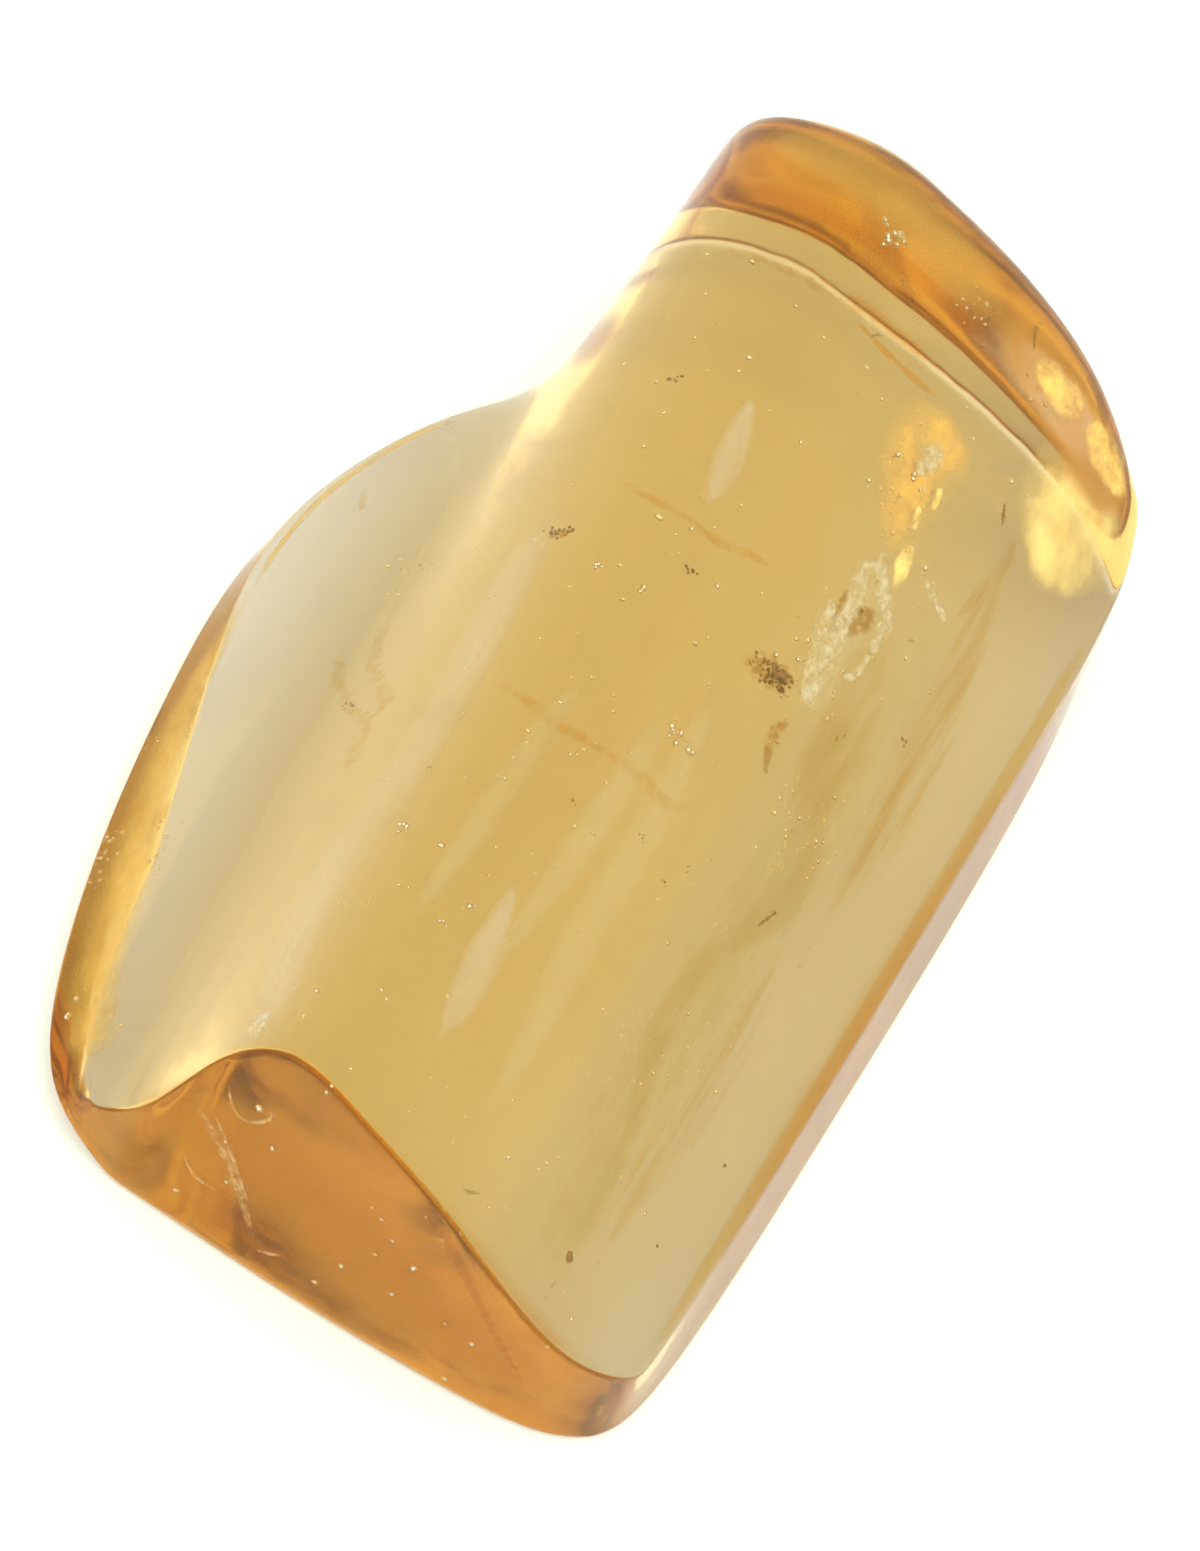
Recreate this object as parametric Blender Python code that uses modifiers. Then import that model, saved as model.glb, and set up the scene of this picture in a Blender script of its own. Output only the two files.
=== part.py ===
"""A polished piece of clear copal resin: one solid, lying on its flat back.

A thick rounded body runs along Y. Its high ridge falls gently to the right (+X) and steeply to the left,
where a thin rounded wing spreads out from its foot. The near end (-Y) is a square face, and the far end (+Y)
is undercut.
Metres, +Z up, the middle of the box's underside at the origin.
"""

import bmesh
import bpy
from mathutils import Vector

NAME = "copal_resin"
MM = 0.001

# The cross-section's shape at five places along the piece, in mm. Each list has eight points of (across,
# height): crease at the wing, steep flank, shoulder, ridge crest, and four points down the gentle right
# slope.
SECTION_NEAR = (
    (-8.36, 6.1), (-7.46, 8.8), (-6.36, 11.7), (-3.96, 14.6),
    (0.09, 13.85), (4.39, 12.2), (8.69, 8.6), (12.33, 6.2),
)
SECTION_BEHIND = (
    (-9.56, 5.8), (-8.16, 8.2), (-6.36, 11.7), (-3.66, 14.9),
    (0.09, 13.95), (4.49, 12.2), (8.84, 8.8), (12.54, 6.2),
)
SECTION_MIDDLE = (
    (-10.76, 5.6), (-8.86, 8.4), (-6.46, 12.1), (-3.16, 15.3),
    (0.39, 13.85), (4.69, 12.1), (9.12, 8.9), (12.83, 6.06),
)
SECTION_JUNCTION = (
    (-9.56, 5.8), (-8.86, 9.6), (-7.16, 12.6), (-2.87, 15.15),
    (0.83, 13.65), (5.13, 12.05), (9.73, 9.2), (13.33, 6.4),
)
SECTION_FAR = (
    (-8.66, 6.9), (-8.66, 10.4), (-7.06, 12.9), (-2.27, 14.6),
    (0.91, 13.4), (5.2, 11.8), (9.33, 9.4), (11.98, 7.4),
)
SECTION_Y = (-28.85, -22.25, -6.5, 16.55, 28.4)

# Ribs between the two ends, and what the left and right rims do at each: along, across at the top of the rim,
# across at its foot on the flat back, height. All in mm.
LEFT_RIM = (
    (-25.45, -11.16, -13.86, 3.5),
    (-16.4, -13.46, -16.06, 3.65),
    (-6.5, -15.61, -17.06, 3.3),
    (1.25, -17.11, -17.33, 2.95),
    (7.9, -15.35, -15.52, 2.7),
    (13.15, -12.67, -12.77, 2.55),
    (16.55, -9.59, -9.84, 2.4),
    (22.1, -9.31, -9.36, 1.72),
    (25.86, -8.96, -8.86, 1.72),
)
RIGHT_RIM = (
    (-25.45, 15.18, 15.99, 4.6),
    (-16.4, 15.61, 16.6, 4.2),
    (-6.5, 15.91, 16.86, 4.25),
    (1.25, 16.04, 17.07, 4.3),
    (7.9, 16.13, 17.16, 4.3),
    (13.15, 16.26, 17.12, 4.35),
    (16.55, 16.3, 16.94, 4.4),
    (21.9, 16.21, 16.39, 4.5),
    (24.86, 15.39, 14.94, 4.75),
)
WING_RISE_AT = 0.46
WING_RISE_SHARE = 0.4
# How far the back turns up under the wing, rib by rib from the near end: at its left edge, and one column in.
WING_FOOT_LIFT = (1.4, 1.5, 1.6, 1.6, 1.4, 0.8, 0.4, 0.15, 0.15, 0.15, 0.15)
WING_BACK_LIFT = (0.5, 0.6, 0.7, 0.7, 0.6, 0.3, 0.1, 0.0, 0.0, 0.0, 0.0)

# The near end face, from the wing's corner to the right corner: where each column's top and foot are along Y.
NEAR_TOP_Y = (-28.0, -28.15, -28.45, -27.7, -27.05, -27.55, -28.75, -29.15, -29.15, -28.85, -27.05)
NEAR_FOOT_Y = (-27.9, -28.25, -28.6, -28.7, -28.8, -28.95, -29.2, -29.25, -29.15, -28.85, -27.6)
NEAR_LEFT_RIM = (-10.91, -11.26, 2.95)
NEAR_RIGHT_RIM = (15.03, 14.68, 4.9)

# The far end: its top edge, then a wall that leans in underneath to a sharp break, and a steep foot below it.
FAR_TOP_Y = (26.86, 27.85, 29.17, 30.26, 30.71, 30.81, 30.76, 30.66, 30.18, 29.09, 27.12)
FAR_FOOT_Y = (26.26, 26.26, 26.26, 26.21, 26.16, 26.16, 26.16, 26.06, 25.81, 25.21, 24.06)
FAR_LEFT_RIM = (-8.66, -8.56, 1.72)
FAR_RIGHT_RIM = (14.43, 13.23, 5.0)
FAR_BREAK_HEIGHT_SHARE = 0.3
FAR_BREAK_OVERHANG = 0.15
FAR_FOOT_SUPPORT = 1.3
# How much of the last ribs' turn towards the far right corner each column takes.
CORNER_TURN = (0, 0, 0, 0, 0, 0, 0, 0, 0.07, 0.33, 1)

# How crisp each edge stays when the form is rounded: 0 is fully soft and 1 is sharp.
CRISP_NEAR_EDGE = 0.85
CRISP_FAR_EDGE = 0.0
CRISP_FAR_BREAK = 0.9
CRISP_WING_RIM = 0.95
CRISP_RIGHT_RIM = 0.75
CRISP_FOOT = 0.95
ROUNDING_LEVELS = 2
FLAT_BACK_TOLERANCE = 1e-6
FLAT_BACK_NORMAL_Z = -0.99

RESIN_COLOUR = (0.80, 0.53, 0.15, 1.0)
RESIN_ROUGHNESS = 0.08
RESIN_IOR = 1.54


def clear_scene():
    """Remove every object, mesh and material."""
    for obj in list(bpy.data.objects):
        bpy.data.objects.remove(obj)
    for mesh in list(bpy.data.meshes):
        bpy.data.meshes.remove(mesh)
    for material in list(bpy.data.materials):
        bpy.data.materials.remove(material)


def make_resin_material():
    """Clear golden resin with a polished face."""
    material = bpy.data.materials.new("copal")
    material.use_nodes = True
    surface = material.node_tree.nodes["Principled BSDF"]
    surface.inputs["Base Color"].default_value = RESIN_COLOUR
    surface.inputs["Roughness"].default_value = RESIN_ROUGHNESS
    surface.inputs["IOR"].default_value = RESIN_IOR
    surface.inputs["Transmission Weight"].default_value = 1.0
    return material


def between(a, b, share):
    """The value that lies the given share of the way from a to b."""
    return a + (b - a) * share


def section_at(y):
    """The eight (across, height) points of the cross-section at y, from the sections on either side."""
    sections = (SECTION_NEAR, SECTION_BEHIND, SECTION_MIDDLE, SECTION_JUNCTION, SECTION_FAR)
    index = 0
    while index < len(sections) - 2 and y > SECTION_Y[index + 1]:
        index += 1
    share = (y - SECTION_Y[index]) / (SECTION_Y[index + 1] - SECTION_Y[index])
    share = max(0.0, min(1.0, share))
    pairs = zip(sections[index], sections[index + 1])
    return [(between(p[0], q[0], share), between(p[1], q[1], share)) for p, q in pairs]


def top_profile(y, left, right):
    """Eleven (across, height) points over the top at y, from the left rim to the right rim."""
    inner = section_at(y)
    crease = inner[0]
    rise = (between(crease[0], left[0], WING_RISE_AT), between(left[1], crease[1], WING_RISE_SHARE))
    return [left, rise] + inner + [right]


def back_height(rib, column):
    """How far the back turns up at one place. It is flat but for the part under the wing's edge."""
    if column == 0:
        return WING_FOOT_LIFT[rib]
    if column == 1:
        return WING_BACK_LIFT[rib]
    return 0.0


def rib_between_ends(index):
    """The top and foot points of one rib between the ends. Its right part turns with the far corner."""
    y_left, x_left, foot_left, z_left = LEFT_RIM[index]
    y_right, x_right, foot_right, z_right = RIGHT_RIM[index]
    profile = top_profile(y_left, (x_left, z_left), (x_right, z_right))
    top = []
    foot = []
    for column, (x, z) in enumerate(profile):
        y = between(y_left, y_right, CORNER_TURN[column])
        share = (x - x_left) / (x_right - x_left)
        top.append((x, y, z))
        foot_y = min(y, FAR_FOOT_Y[column] - FAR_FOOT_SUPPORT)
        foot.append((between(foot_left, foot_right, share), foot_y, back_height(index + 1, column)))
    return top, foot


def near_end_rib():
    """The top and foot points of the near end face."""
    left = (NEAR_LEFT_RIM[0], NEAR_LEFT_RIM[2])
    right = (NEAR_RIGHT_RIM[0], NEAR_RIGHT_RIM[2])
    profile = top_profile(SECTION_Y[0], left, right)
    foot_x = [NEAR_LEFT_RIM[1]] + [x for x, z in profile[1:-1]] + [NEAR_RIGHT_RIM[1]]
    top = [(x, y, z) for (x, z), y in zip(profile, NEAR_TOP_Y)]
    foot = [(x, y, back_height(0, c)) for c, (x, y) in enumerate(zip(foot_x, NEAR_FOOT_Y))]
    return top, foot


def far_end_rib():
    """The top and foot points of the undercut far end."""
    left = (FAR_LEFT_RIM[0], FAR_LEFT_RIM[2])
    right = (FAR_RIGHT_RIM[0], FAR_RIGHT_RIM[2])
    profile = top_profile(SECTION_Y[-1], left, right)
    top = [(x, y, z) for (x, z), y in zip(profile, FAR_TOP_Y)]
    foot = []
    for column, ((x, y, z), foot_y) in enumerate(zip(top, FAR_FOOT_Y)):
        share = (x - left[0]) / (right[0] - left[0])
        foot_x = between(FAR_LEFT_RIM[1], FAR_RIGHT_RIM[1], share)
        foot.append((foot_x, foot_y, back_height(-1, column)))
    return top, foot


def break_point(top, foot, at_far_end):
    """The point half-way down a side wall, or at the sharp break in the far end's wall."""
    x = (top[0] + foot[0]) / 2
    if at_far_end:
        return (x, foot[1] + FAR_BREAK_OVERHANG, top[2] * FAR_BREAK_HEIGHT_SHARE)
    return (x, (top[1] + foot[1]) / 2, (top[2] + foot[2]) / 2)


def rim_loop(rib_count, column_count):
    """(rib, column) places around the rim, once round."""
    last_rib = rib_count - 1
    last_column = column_count - 1
    near = [(0, c) for c in range(column_count)]
    right = [(r, last_column) for r in range(1, rib_count)]
    far = [(last_rib, c) for c in range(last_column - 1, -1, -1)]
    left = [(r, 0) for r in range(last_rib - 1, 0, -1)]
    return near + right + far + left


def add_sheet(form, rows, facing_up):
    """One sheet of quads through rows of points, and its vertices by (rib, column)."""
    verts = {}
    for r, row in enumerate(rows):
        for c, point in enumerate(row):
            verts[r, c] = form.verts.new(Vector(point) * MM)
    for r in range(len(rows) - 1):
        for c in range(len(rows[0]) - 1):
            corners = [verts[r, c], verts[r, c + 1], verts[r + 1, c + 1], verts[r + 1, c]]
            form.faces.new(corners if facing_up else corners[::-1])
    return verts


def rim_crispness(a, b, last_rib):
    """How crisp the top rim's edge between two rim places is."""
    if a[0] == 0 and b[0] == 0:
        return CRISP_NEAR_EDGE
    if a[0] == last_rib and b[0] == last_rib:
        return CRISP_FAR_EDGE
    if a[1] == 0 and b[1] == 0:
        return CRISP_WING_RIM
    return CRISP_RIGHT_RIM


def make_control_form(ribs):
    """The closed control form: top sheet, flat back and the wall between, with its crisp edges marked."""
    form = bmesh.new()
    crease = form.edges.layers.float.new("crease_edge")
    tops = add_sheet(form, [top for top, foot in ribs], True)
    feet = add_sheet(form, [foot for top, foot in ribs], False)
    last_rib = len(ribs) - 1
    loop = rim_loop(len(ribs), len(ribs[0][0]))
    breaks = {}
    for r, c in loop:
        point = break_point(ribs[r][0][c], ribs[r][1][c], r == last_rib)
        breaks[r, c] = form.verts.new(Vector(point) * MM)
    for a, b in zip(loop, loop[1:] + loop[:1]):
        form.faces.new([tops[b], tops[a], breaks[a], breaks[b]])
        form.faces.new([breaks[b], breaks[a], feet[a], feet[b]])
        form.edges.get([tops[a], tops[b]])[crease] = rim_crispness(a, b, last_rib)
        form.edges.get([feet[a], feet[b]])[crease] = CRISP_FOOT
        if a[0] == last_rib and b[0] == last_rib:
            form.edges.get([breaks[a], breaks[b]])[crease] = CRISP_FAR_BREAK
    mesh = bpy.data.meshes.new(NAME)
    form.to_mesh(mesh)
    form.free()
    return mesh


def round_form(obj):
    """Subdivide the control form to its rounded shape and keep the result as the object's mesh."""
    rounding = obj.modifiers.new("rounding", "SUBSURF")
    rounding.levels = ROUNDING_LEVELS
    rounding.render_levels = ROUNDING_LEVELS
    graph = bpy.context.evaluated_depsgraph_get()
    rounded = bpy.data.meshes.new_from_object(obj.evaluated_get(graph))
    obj.modifiers.clear()
    obj.data = rounded


def merge_flat_back(obj):
    """Join the back's coplanar faces into one flat face."""
    form = bmesh.new()
    form.from_mesh(obj.data)
    flat = [f for f in form.faces if all(abs(v.co.z) < FLAT_BACK_TOLERANCE for v in f.verts)]
    flat_faces = set(flat)
    inner = [e for f in flat for e in f.edges if all(g in flat_faces for g in e.link_faces)]
    inner = sorted(set(inner), key=lambda e: e.index)
    bmesh.ops.dissolve_edges(form, edges=inner, use_verts=True)
    form.to_mesh(obj.data)
    form.free()


def shade_round(obj):
    """Shade the rounded faces smooth and leave the flat back flat."""
    for face in obj.data.polygons:
        face.use_smooth = face.normal.z > FLAT_BACK_NORMAL_Z


def build():
    """Make the piece and put it in its own collection."""
    clear_scene()
    ribs = [near_end_rib()]
    ribs += [rib_between_ends(index) for index in range(len(LEFT_RIM))]
    ribs.append(far_end_rib())
    obj = bpy.data.objects.new(NAME, make_control_form(ribs))
    collection = bpy.data.collections.new(NAME)
    bpy.context.scene.collection.children.link(collection)
    collection.objects.link(obj)
    round_form(obj)
    merge_flat_back(obj)
    shade_round(obj)
    obj.data.name = NAME
    obj.data.materials.clear()
    obj.data.materials.append(make_resin_material())
    return obj


build()
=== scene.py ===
"""A polished piece of clear golden copal resin, lying on its flat back on a pale table.

The clear body comes first, then the camera, what is sealed inside the body, the table and the light.
Sizes are in millimetres and become metres where a mesh is made, apart from the ripples, the table and
the camera's distance, which are given in metres. +Y runs along the piece, and +Z is up.
"""

import math
import random

import bmesh
import bpy
from mathutils import Matrix, Vector
from mathutils.bvhtree import BVHTree


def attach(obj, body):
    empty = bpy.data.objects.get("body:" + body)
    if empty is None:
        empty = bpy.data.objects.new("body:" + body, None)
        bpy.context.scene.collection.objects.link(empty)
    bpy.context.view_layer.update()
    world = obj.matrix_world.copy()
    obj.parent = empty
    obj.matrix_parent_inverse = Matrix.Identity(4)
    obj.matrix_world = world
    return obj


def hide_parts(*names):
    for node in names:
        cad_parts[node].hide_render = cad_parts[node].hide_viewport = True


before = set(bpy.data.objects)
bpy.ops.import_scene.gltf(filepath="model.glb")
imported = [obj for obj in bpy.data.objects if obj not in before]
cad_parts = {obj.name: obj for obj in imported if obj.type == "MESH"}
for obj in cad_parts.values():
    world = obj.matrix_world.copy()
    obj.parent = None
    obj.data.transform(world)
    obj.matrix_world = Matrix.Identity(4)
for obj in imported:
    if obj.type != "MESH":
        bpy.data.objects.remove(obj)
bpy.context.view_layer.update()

# ---------------------------------------------------------------------------------------------------------
# The clear resin. One natural lump of hardened tree resin, cut square at one end, undercut at the other, and
# polished by hand until every edge was soft. It is one solid: a thick ridged body with a thin wing along its
# left side. Its back is flat, and turns up a little along the wing's edge.

MM = 0.001
# The cross-section at five places along the piece. Each has eight points of (across, height): crease at the
# wing, steep flank, shoulder, ridge crest, and four points down the gentle right slope.
SECTION_NEAR = (
    (-8.36, 6.1), (-7.46, 8.8), (-6.36, 11.7), (-3.96, 14.6),
    (0.09, 13.85), (4.39, 12.2), (8.69, 8.6), (12.33, 6.2),
)
SECTION_BEHIND = (
    (-9.56, 5.8), (-8.16, 8.2), (-6.36, 11.7), (-3.66, 14.9),
    (0.09, 13.95), (4.49, 12.2), (8.84, 8.8), (12.54, 6.2),
)
SECTION_MIDDLE = (
    (-10.76, 5.6), (-8.86, 8.4), (-6.46, 12.1), (-3.16, 15.3),
    (0.39, 13.85), (4.69, 12.1), (9.12, 8.9), (12.83, 6.06),
)
SECTION_JUNCTION = (
    (-9.56, 5.8), (-8.86, 9.6), (-7.16, 12.6), (-2.87, 15.15),
    (0.83, 13.65), (5.13, 12.05), (9.73, 9.2), (13.33, 6.4),
)
SECTION_FAR = (
    (-8.66, 6.9), (-8.66, 10.4), (-7.06, 12.9), (-2.27, 14.6),
    (0.91, 13.4), (5.2, 11.8), (9.33, 9.4), (11.98, 7.4),
)
SECTION_Y = (-28.85, -22.25, -6.5, 16.55, 28.4)
# Ribs between the ends: along, across at the rim's top, across at its foot, height of the rim's top.
LEFT_RIM = (
    (-25.45, -11.16, -13.86, 3.5),
    (-16.4, -13.46, -16.06, 3.65),
    (-6.5, -15.61, -17.06, 3.3),
    (1.25, -17.11, -17.33, 2.95),
    (7.9, -15.35, -15.52, 2.7),
    (13.15, -12.67, -12.77, 2.55),
    (16.55, -9.59, -9.84, 2.4),
    (22.1, -9.31, -9.36, 1.72),
    (25.86, -8.96, -8.86, 1.72),
)
RIGHT_RIM = (
    (-25.45, 15.18, 15.99, 4.6),
    (-16.4, 15.61, 16.6, 4.2),
    (-6.5, 15.91, 16.86, 4.25),
    (1.25, 16.04, 17.07, 4.3),
    (7.9, 16.13, 17.16, 4.3),
    (13.15, 16.26, 17.12, 4.35),
    (16.55, 16.3, 16.94, 4.4),
    (21.9, 16.21, 16.39, 4.5),
    (24.86, 15.39, 14.94, 4.75),
)
# How far the back's left edge turns up at the near end, at each rib and at the far end.
WING_FOOT_LIFT = (1.4, 1.5, 1.6, 1.6, 1.4, 0.8, 0.4, 0.15, 0.15, 0.15, 0.15)
WING_BACK_LIFT = (0.5, 0.6, 0.7, 0.7, 0.6, 0.3, 0.1, 0.0, 0.0, 0.0, 0.0)
FOOT_LIFT = 0.15
WING_RISE_AT = 0.46
WING_RISE_SHARE = 0.4
# How far along each column of the near and the far end lies, at the top and at the foot.
NEAR_TOP_Y = (-28.0, -28.15, -28.45, -27.7, -27.05, -27.55, -28.75, -29.15, -29.15, -28.85, -27.05)
NEAR_FOOT_Y = (-27.9, -28.25, -28.6, -28.7, -28.8, -28.95, -29.2, -29.25, -29.15, -28.85, -27.6)
NEAR_LEFT_RIM = (-10.91, -11.26, 2.95)
NEAR_RIGHT_RIM = (15.03, 14.68, 4.9)
FAR_TOP_Y = (26.86, 27.85, 29.17, 30.26, 30.71, 30.81, 30.76, 30.66, 30.18, 29.09, 27.12)
FAR_FOOT_Y = (26.26, 26.26, 26.26, 26.21, 26.16, 26.16, 26.16, 26.06, 25.81, 25.21, 24.06)
FAR_LEFT_RIM = (-8.66, -8.56, 1.72)
FAR_RIGHT_RIM = (14.43, 13.23, 5.0)
FAR_BREAK_HEIGHT_SHARE = 0.3
FAR_BREAK_OVERHANG = 0.15
FAR_FOOT_SUPPORT = 1.3
# How much of the right rim's place along each column takes: the ribs turn with the far corner.
CORNER_TURN = (0, 0, 0, 0, 0, 0, 0, 0, 0.07, 0.33, 1)
# How crisp each edge stays in the polish: 0 is fully soft and 1 is sharp.
CRISP_NEAR_EDGE = 0.85
CRISP_FAR_EDGE = 0.0
CRISP_FAR_BREAK = 0.9
CRISP_SIDE_RIM = 0.75
CRISP_WING_RIM = 0.95
CRISP_FOOT = 0.8
POLISH_LEVELS = 4

RESIN_IOR = 1.54
RESIN_TAKES_UP = (0.84, 0.62, 0.08, 1.0)
RESIN_DENSITY = 70.0
RESIN_SHINE_TINT = (1.0, 0.75, 0.2, 1.0)
POLISH_BEST, POLISH_DULLEST = 0.05, 0.11
# The polish wanders in patches, and faint ripples are left in it. Patches and ripples to the metre.
POLISH_PATCHES, RIPPLES = 160.0, 280.0
RIPPLE_HEIGHT = 0.00004
POLISH_DETAIL = 2.0


def between(a, b, share):
    """The value that lies the given share of the way from a to b."""
    return a + (b - a) * share


def section_at(y):
    """The eight (across, height) points of the cross-section at y."""
    sections = (SECTION_NEAR, SECTION_BEHIND, SECTION_MIDDLE, SECTION_JUNCTION, SECTION_FAR)
    index = 0
    while index < len(sections) - 2 and y > SECTION_Y[index + 1]:
        index += 1
    share = (y - SECTION_Y[index]) / (SECTION_Y[index + 1] - SECTION_Y[index])
    share = max(0.0, min(1.0, share))
    pairs = zip(sections[index], sections[index + 1])
    return [(between(p[0], q[0], share), between(p[1], q[1], share)) for p, q in pairs]


def top_profile(y, left, right):
    """Eleven (across, height) points over the top at y, from the left rim to the right rim."""
    inner = section_at(y)
    crease = inner[0]
    rise = (between(crease[0], left[0], WING_RISE_AT), between(left[1], crease[1], WING_RISE_SHARE))
    return [left, rise] + inner + [right]


def foot_height(rib, column, last_rib, last_column):
    """How far the back's edge turns up at one place on it. Inside its edge the back is flat."""
    if column == 0:
        return WING_FOOT_LIFT[rib]
    if column == 1:
        return WING_BACK_LIFT[rib]
    if rib in (0, last_rib) or column == last_column:
        return FOOT_LIFT
    return 0.0


def near_end_rib():
    """The top and foot points of the near end face."""
    left = (NEAR_LEFT_RIM[0], NEAR_LEFT_RIM[2])
    right = (NEAR_RIGHT_RIM[0], NEAR_RIGHT_RIM[2])
    profile = top_profile(SECTION_Y[0], left, right)
    foot_x = [NEAR_LEFT_RIM[1]] + [x for x, z in profile[1:-1]] + [NEAR_RIGHT_RIM[1]]
    top = [(x, y, z) for (x, z), y in zip(profile, NEAR_TOP_Y)]
    foot = [(x, y) for x, y in zip(foot_x, NEAR_FOOT_Y)]
    return top, foot


def far_end_rib():
    """The top and foot points of the undercut far end."""
    left = (FAR_LEFT_RIM[0], FAR_LEFT_RIM[2])
    right = (FAR_RIGHT_RIM[0], FAR_RIGHT_RIM[2])
    profile = top_profile(SECTION_Y[-1], left, right)
    top = [(x, y, z) for (x, z), y in zip(profile, FAR_TOP_Y)]
    foot = []
    for (x, y, z), foot_y in zip(top, FAR_FOOT_Y):
        share = (x - left[0]) / (right[0] - left[0])
        foot.append((between(FAR_LEFT_RIM[1], FAR_RIGHT_RIM[1], share), foot_y))
    return top, foot


def rib_between_ends(index):
    """The top and foot points of one rib between the ends. Its right part turns with the far corner."""
    y_left, x_left, foot_left, z_left = LEFT_RIM[index]
    y_right, x_right, foot_right, z_right = RIGHT_RIM[index]
    profile = top_profile(y_left, (x_left, z_left), (x_right, z_right))
    top = []
    foot = []
    for column, (x, z) in enumerate(profile):
        y = between(y_left, y_right, CORNER_TURN[column])
        share = (x - x_left) / (x_right - x_left)
        top.append((x, y, z))
        foot.append((between(foot_left, foot_right, share), min(y, FAR_FOOT_Y[column] - FAR_FOOT_SUPPORT)))
    return top, foot


def wall_point(top, foot, at_far_end):
    """The point half-way down a side wall, or at the sharp break in the far end's wall."""
    x = (top[0] + foot[0]) / 2
    if at_far_end:
        return (x, foot[1] + FAR_BREAK_OVERHANG, top[2] * FAR_BREAK_HEIGHT_SHARE)
    return (x, (top[1] + foot[1]) / 2, (top[2] + foot[2]) / 2)


def rim_places(last_rib, last_column):
    """(rib, column) places around the rim, once round."""
    near = [(0, c) for c in range(last_column + 1)]
    right = [(r, last_column) for r in range(1, last_rib + 1)]
    far = [(last_rib, c) for c in range(last_column - 1, -1, -1)]
    left = [(r, 0) for r in range(last_rib - 1, 0, -1)]
    return near + right + far + left


def sheet_of(form, rows, facing_up):
    """One sheet of quads through rows of points, and its vertices by (rib, column)."""
    verts = {}
    for r, row in enumerate(rows):
        for c, point in enumerate(row):
            verts[r, c] = form.verts.new(Vector(point) * MM)
    for r in range(len(rows) - 1):
        for c in range(len(rows[0]) - 1):
            corners = [verts[r, c], verts[r, c + 1], verts[r + 1, c + 1], verts[r + 1, c]]
            form.faces.new(corners if facing_up else corners[::-1])
    return verts


def rough_lump():
    """The lump before polishing: top sheet, back sheet and the wall between, with its crisp edges marked."""
    ribs = [near_end_rib()] + [rib_between_ends(index) for index in range(len(LEFT_RIM))] + [far_end_rib()]
    last_rib = len(ribs) - 1
    last_column = len(ribs[0][0]) - 1
    top_rows = [top for top, foot in ribs]
    foot_rows = []
    for r, (top, foot) in enumerate(ribs):
        row = [(x, y, foot_height(r, c, last_rib, last_column)) for c, (x, y) in enumerate(foot)]
        foot_rows.append(row)
    form = bmesh.new()
    crease = form.edges.layers.float.new("crease_edge")
    tops = sheet_of(form, top_rows, True)
    feet = sheet_of(form, foot_rows, False)
    places = rim_places(last_rib, last_column)
    walls = {}
    for r, c in places:
        point = wall_point(top_rows[r][c], foot_rows[r][c], r == last_rib)
        walls[r, c] = form.verts.new(Vector(point) * MM)
    for a, b in zip(places, places[1:] + places[:1]):
        form.faces.new([tops[b], tops[a], walls[a], walls[b]])
        form.faces.new([walls[b], walls[a], feet[a], feet[b]])
        near = a[0] == 0 and b[0] == 0
        far = a[0] == last_rib and b[0] == last_rib
        wing = a[1] == 0 and b[1] == 0
        side = CRISP_WING_RIM if wing else CRISP_SIDE_RIM
        rim = CRISP_NEAR_EDGE if near else CRISP_FAR_EDGE if far else side
        form.edges.get([tops[a], tops[b]])[crease] = rim
        form.edges.get([feet[a], feet[b]])[crease] = CRISP_FOOT
        if far:
            form.edges.get([walls[a], walls[b]])[crease] = CRISP_FAR_BREAK
    mesh = bpy.data.meshes.new("clear_resin")
    form.to_mesh(mesh)
    form.free()
    return mesh


def polished(obj, levels):
    """Round the rough lump and keep the result as its mesh."""
    rounding = obj.modifiers.new("polishing", "SUBSURF")
    rounding.levels = levels
    rounding.render_levels = levels
    graph = bpy.context.evaluated_depsgraph_get()
    obj.data = bpy.data.meshes.new_from_object(obj.evaluated_get(graph))
    obj.modifiers.clear()
    obj.data.shade_smooth()


def new_material(name):
    """A new material, its node tree and its shader."""
    material = bpy.data.materials.new(name)
    material.use_nodes = True
    return material, material.node_tree, material.node_tree.nodes["Principled BSDF"]


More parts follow.
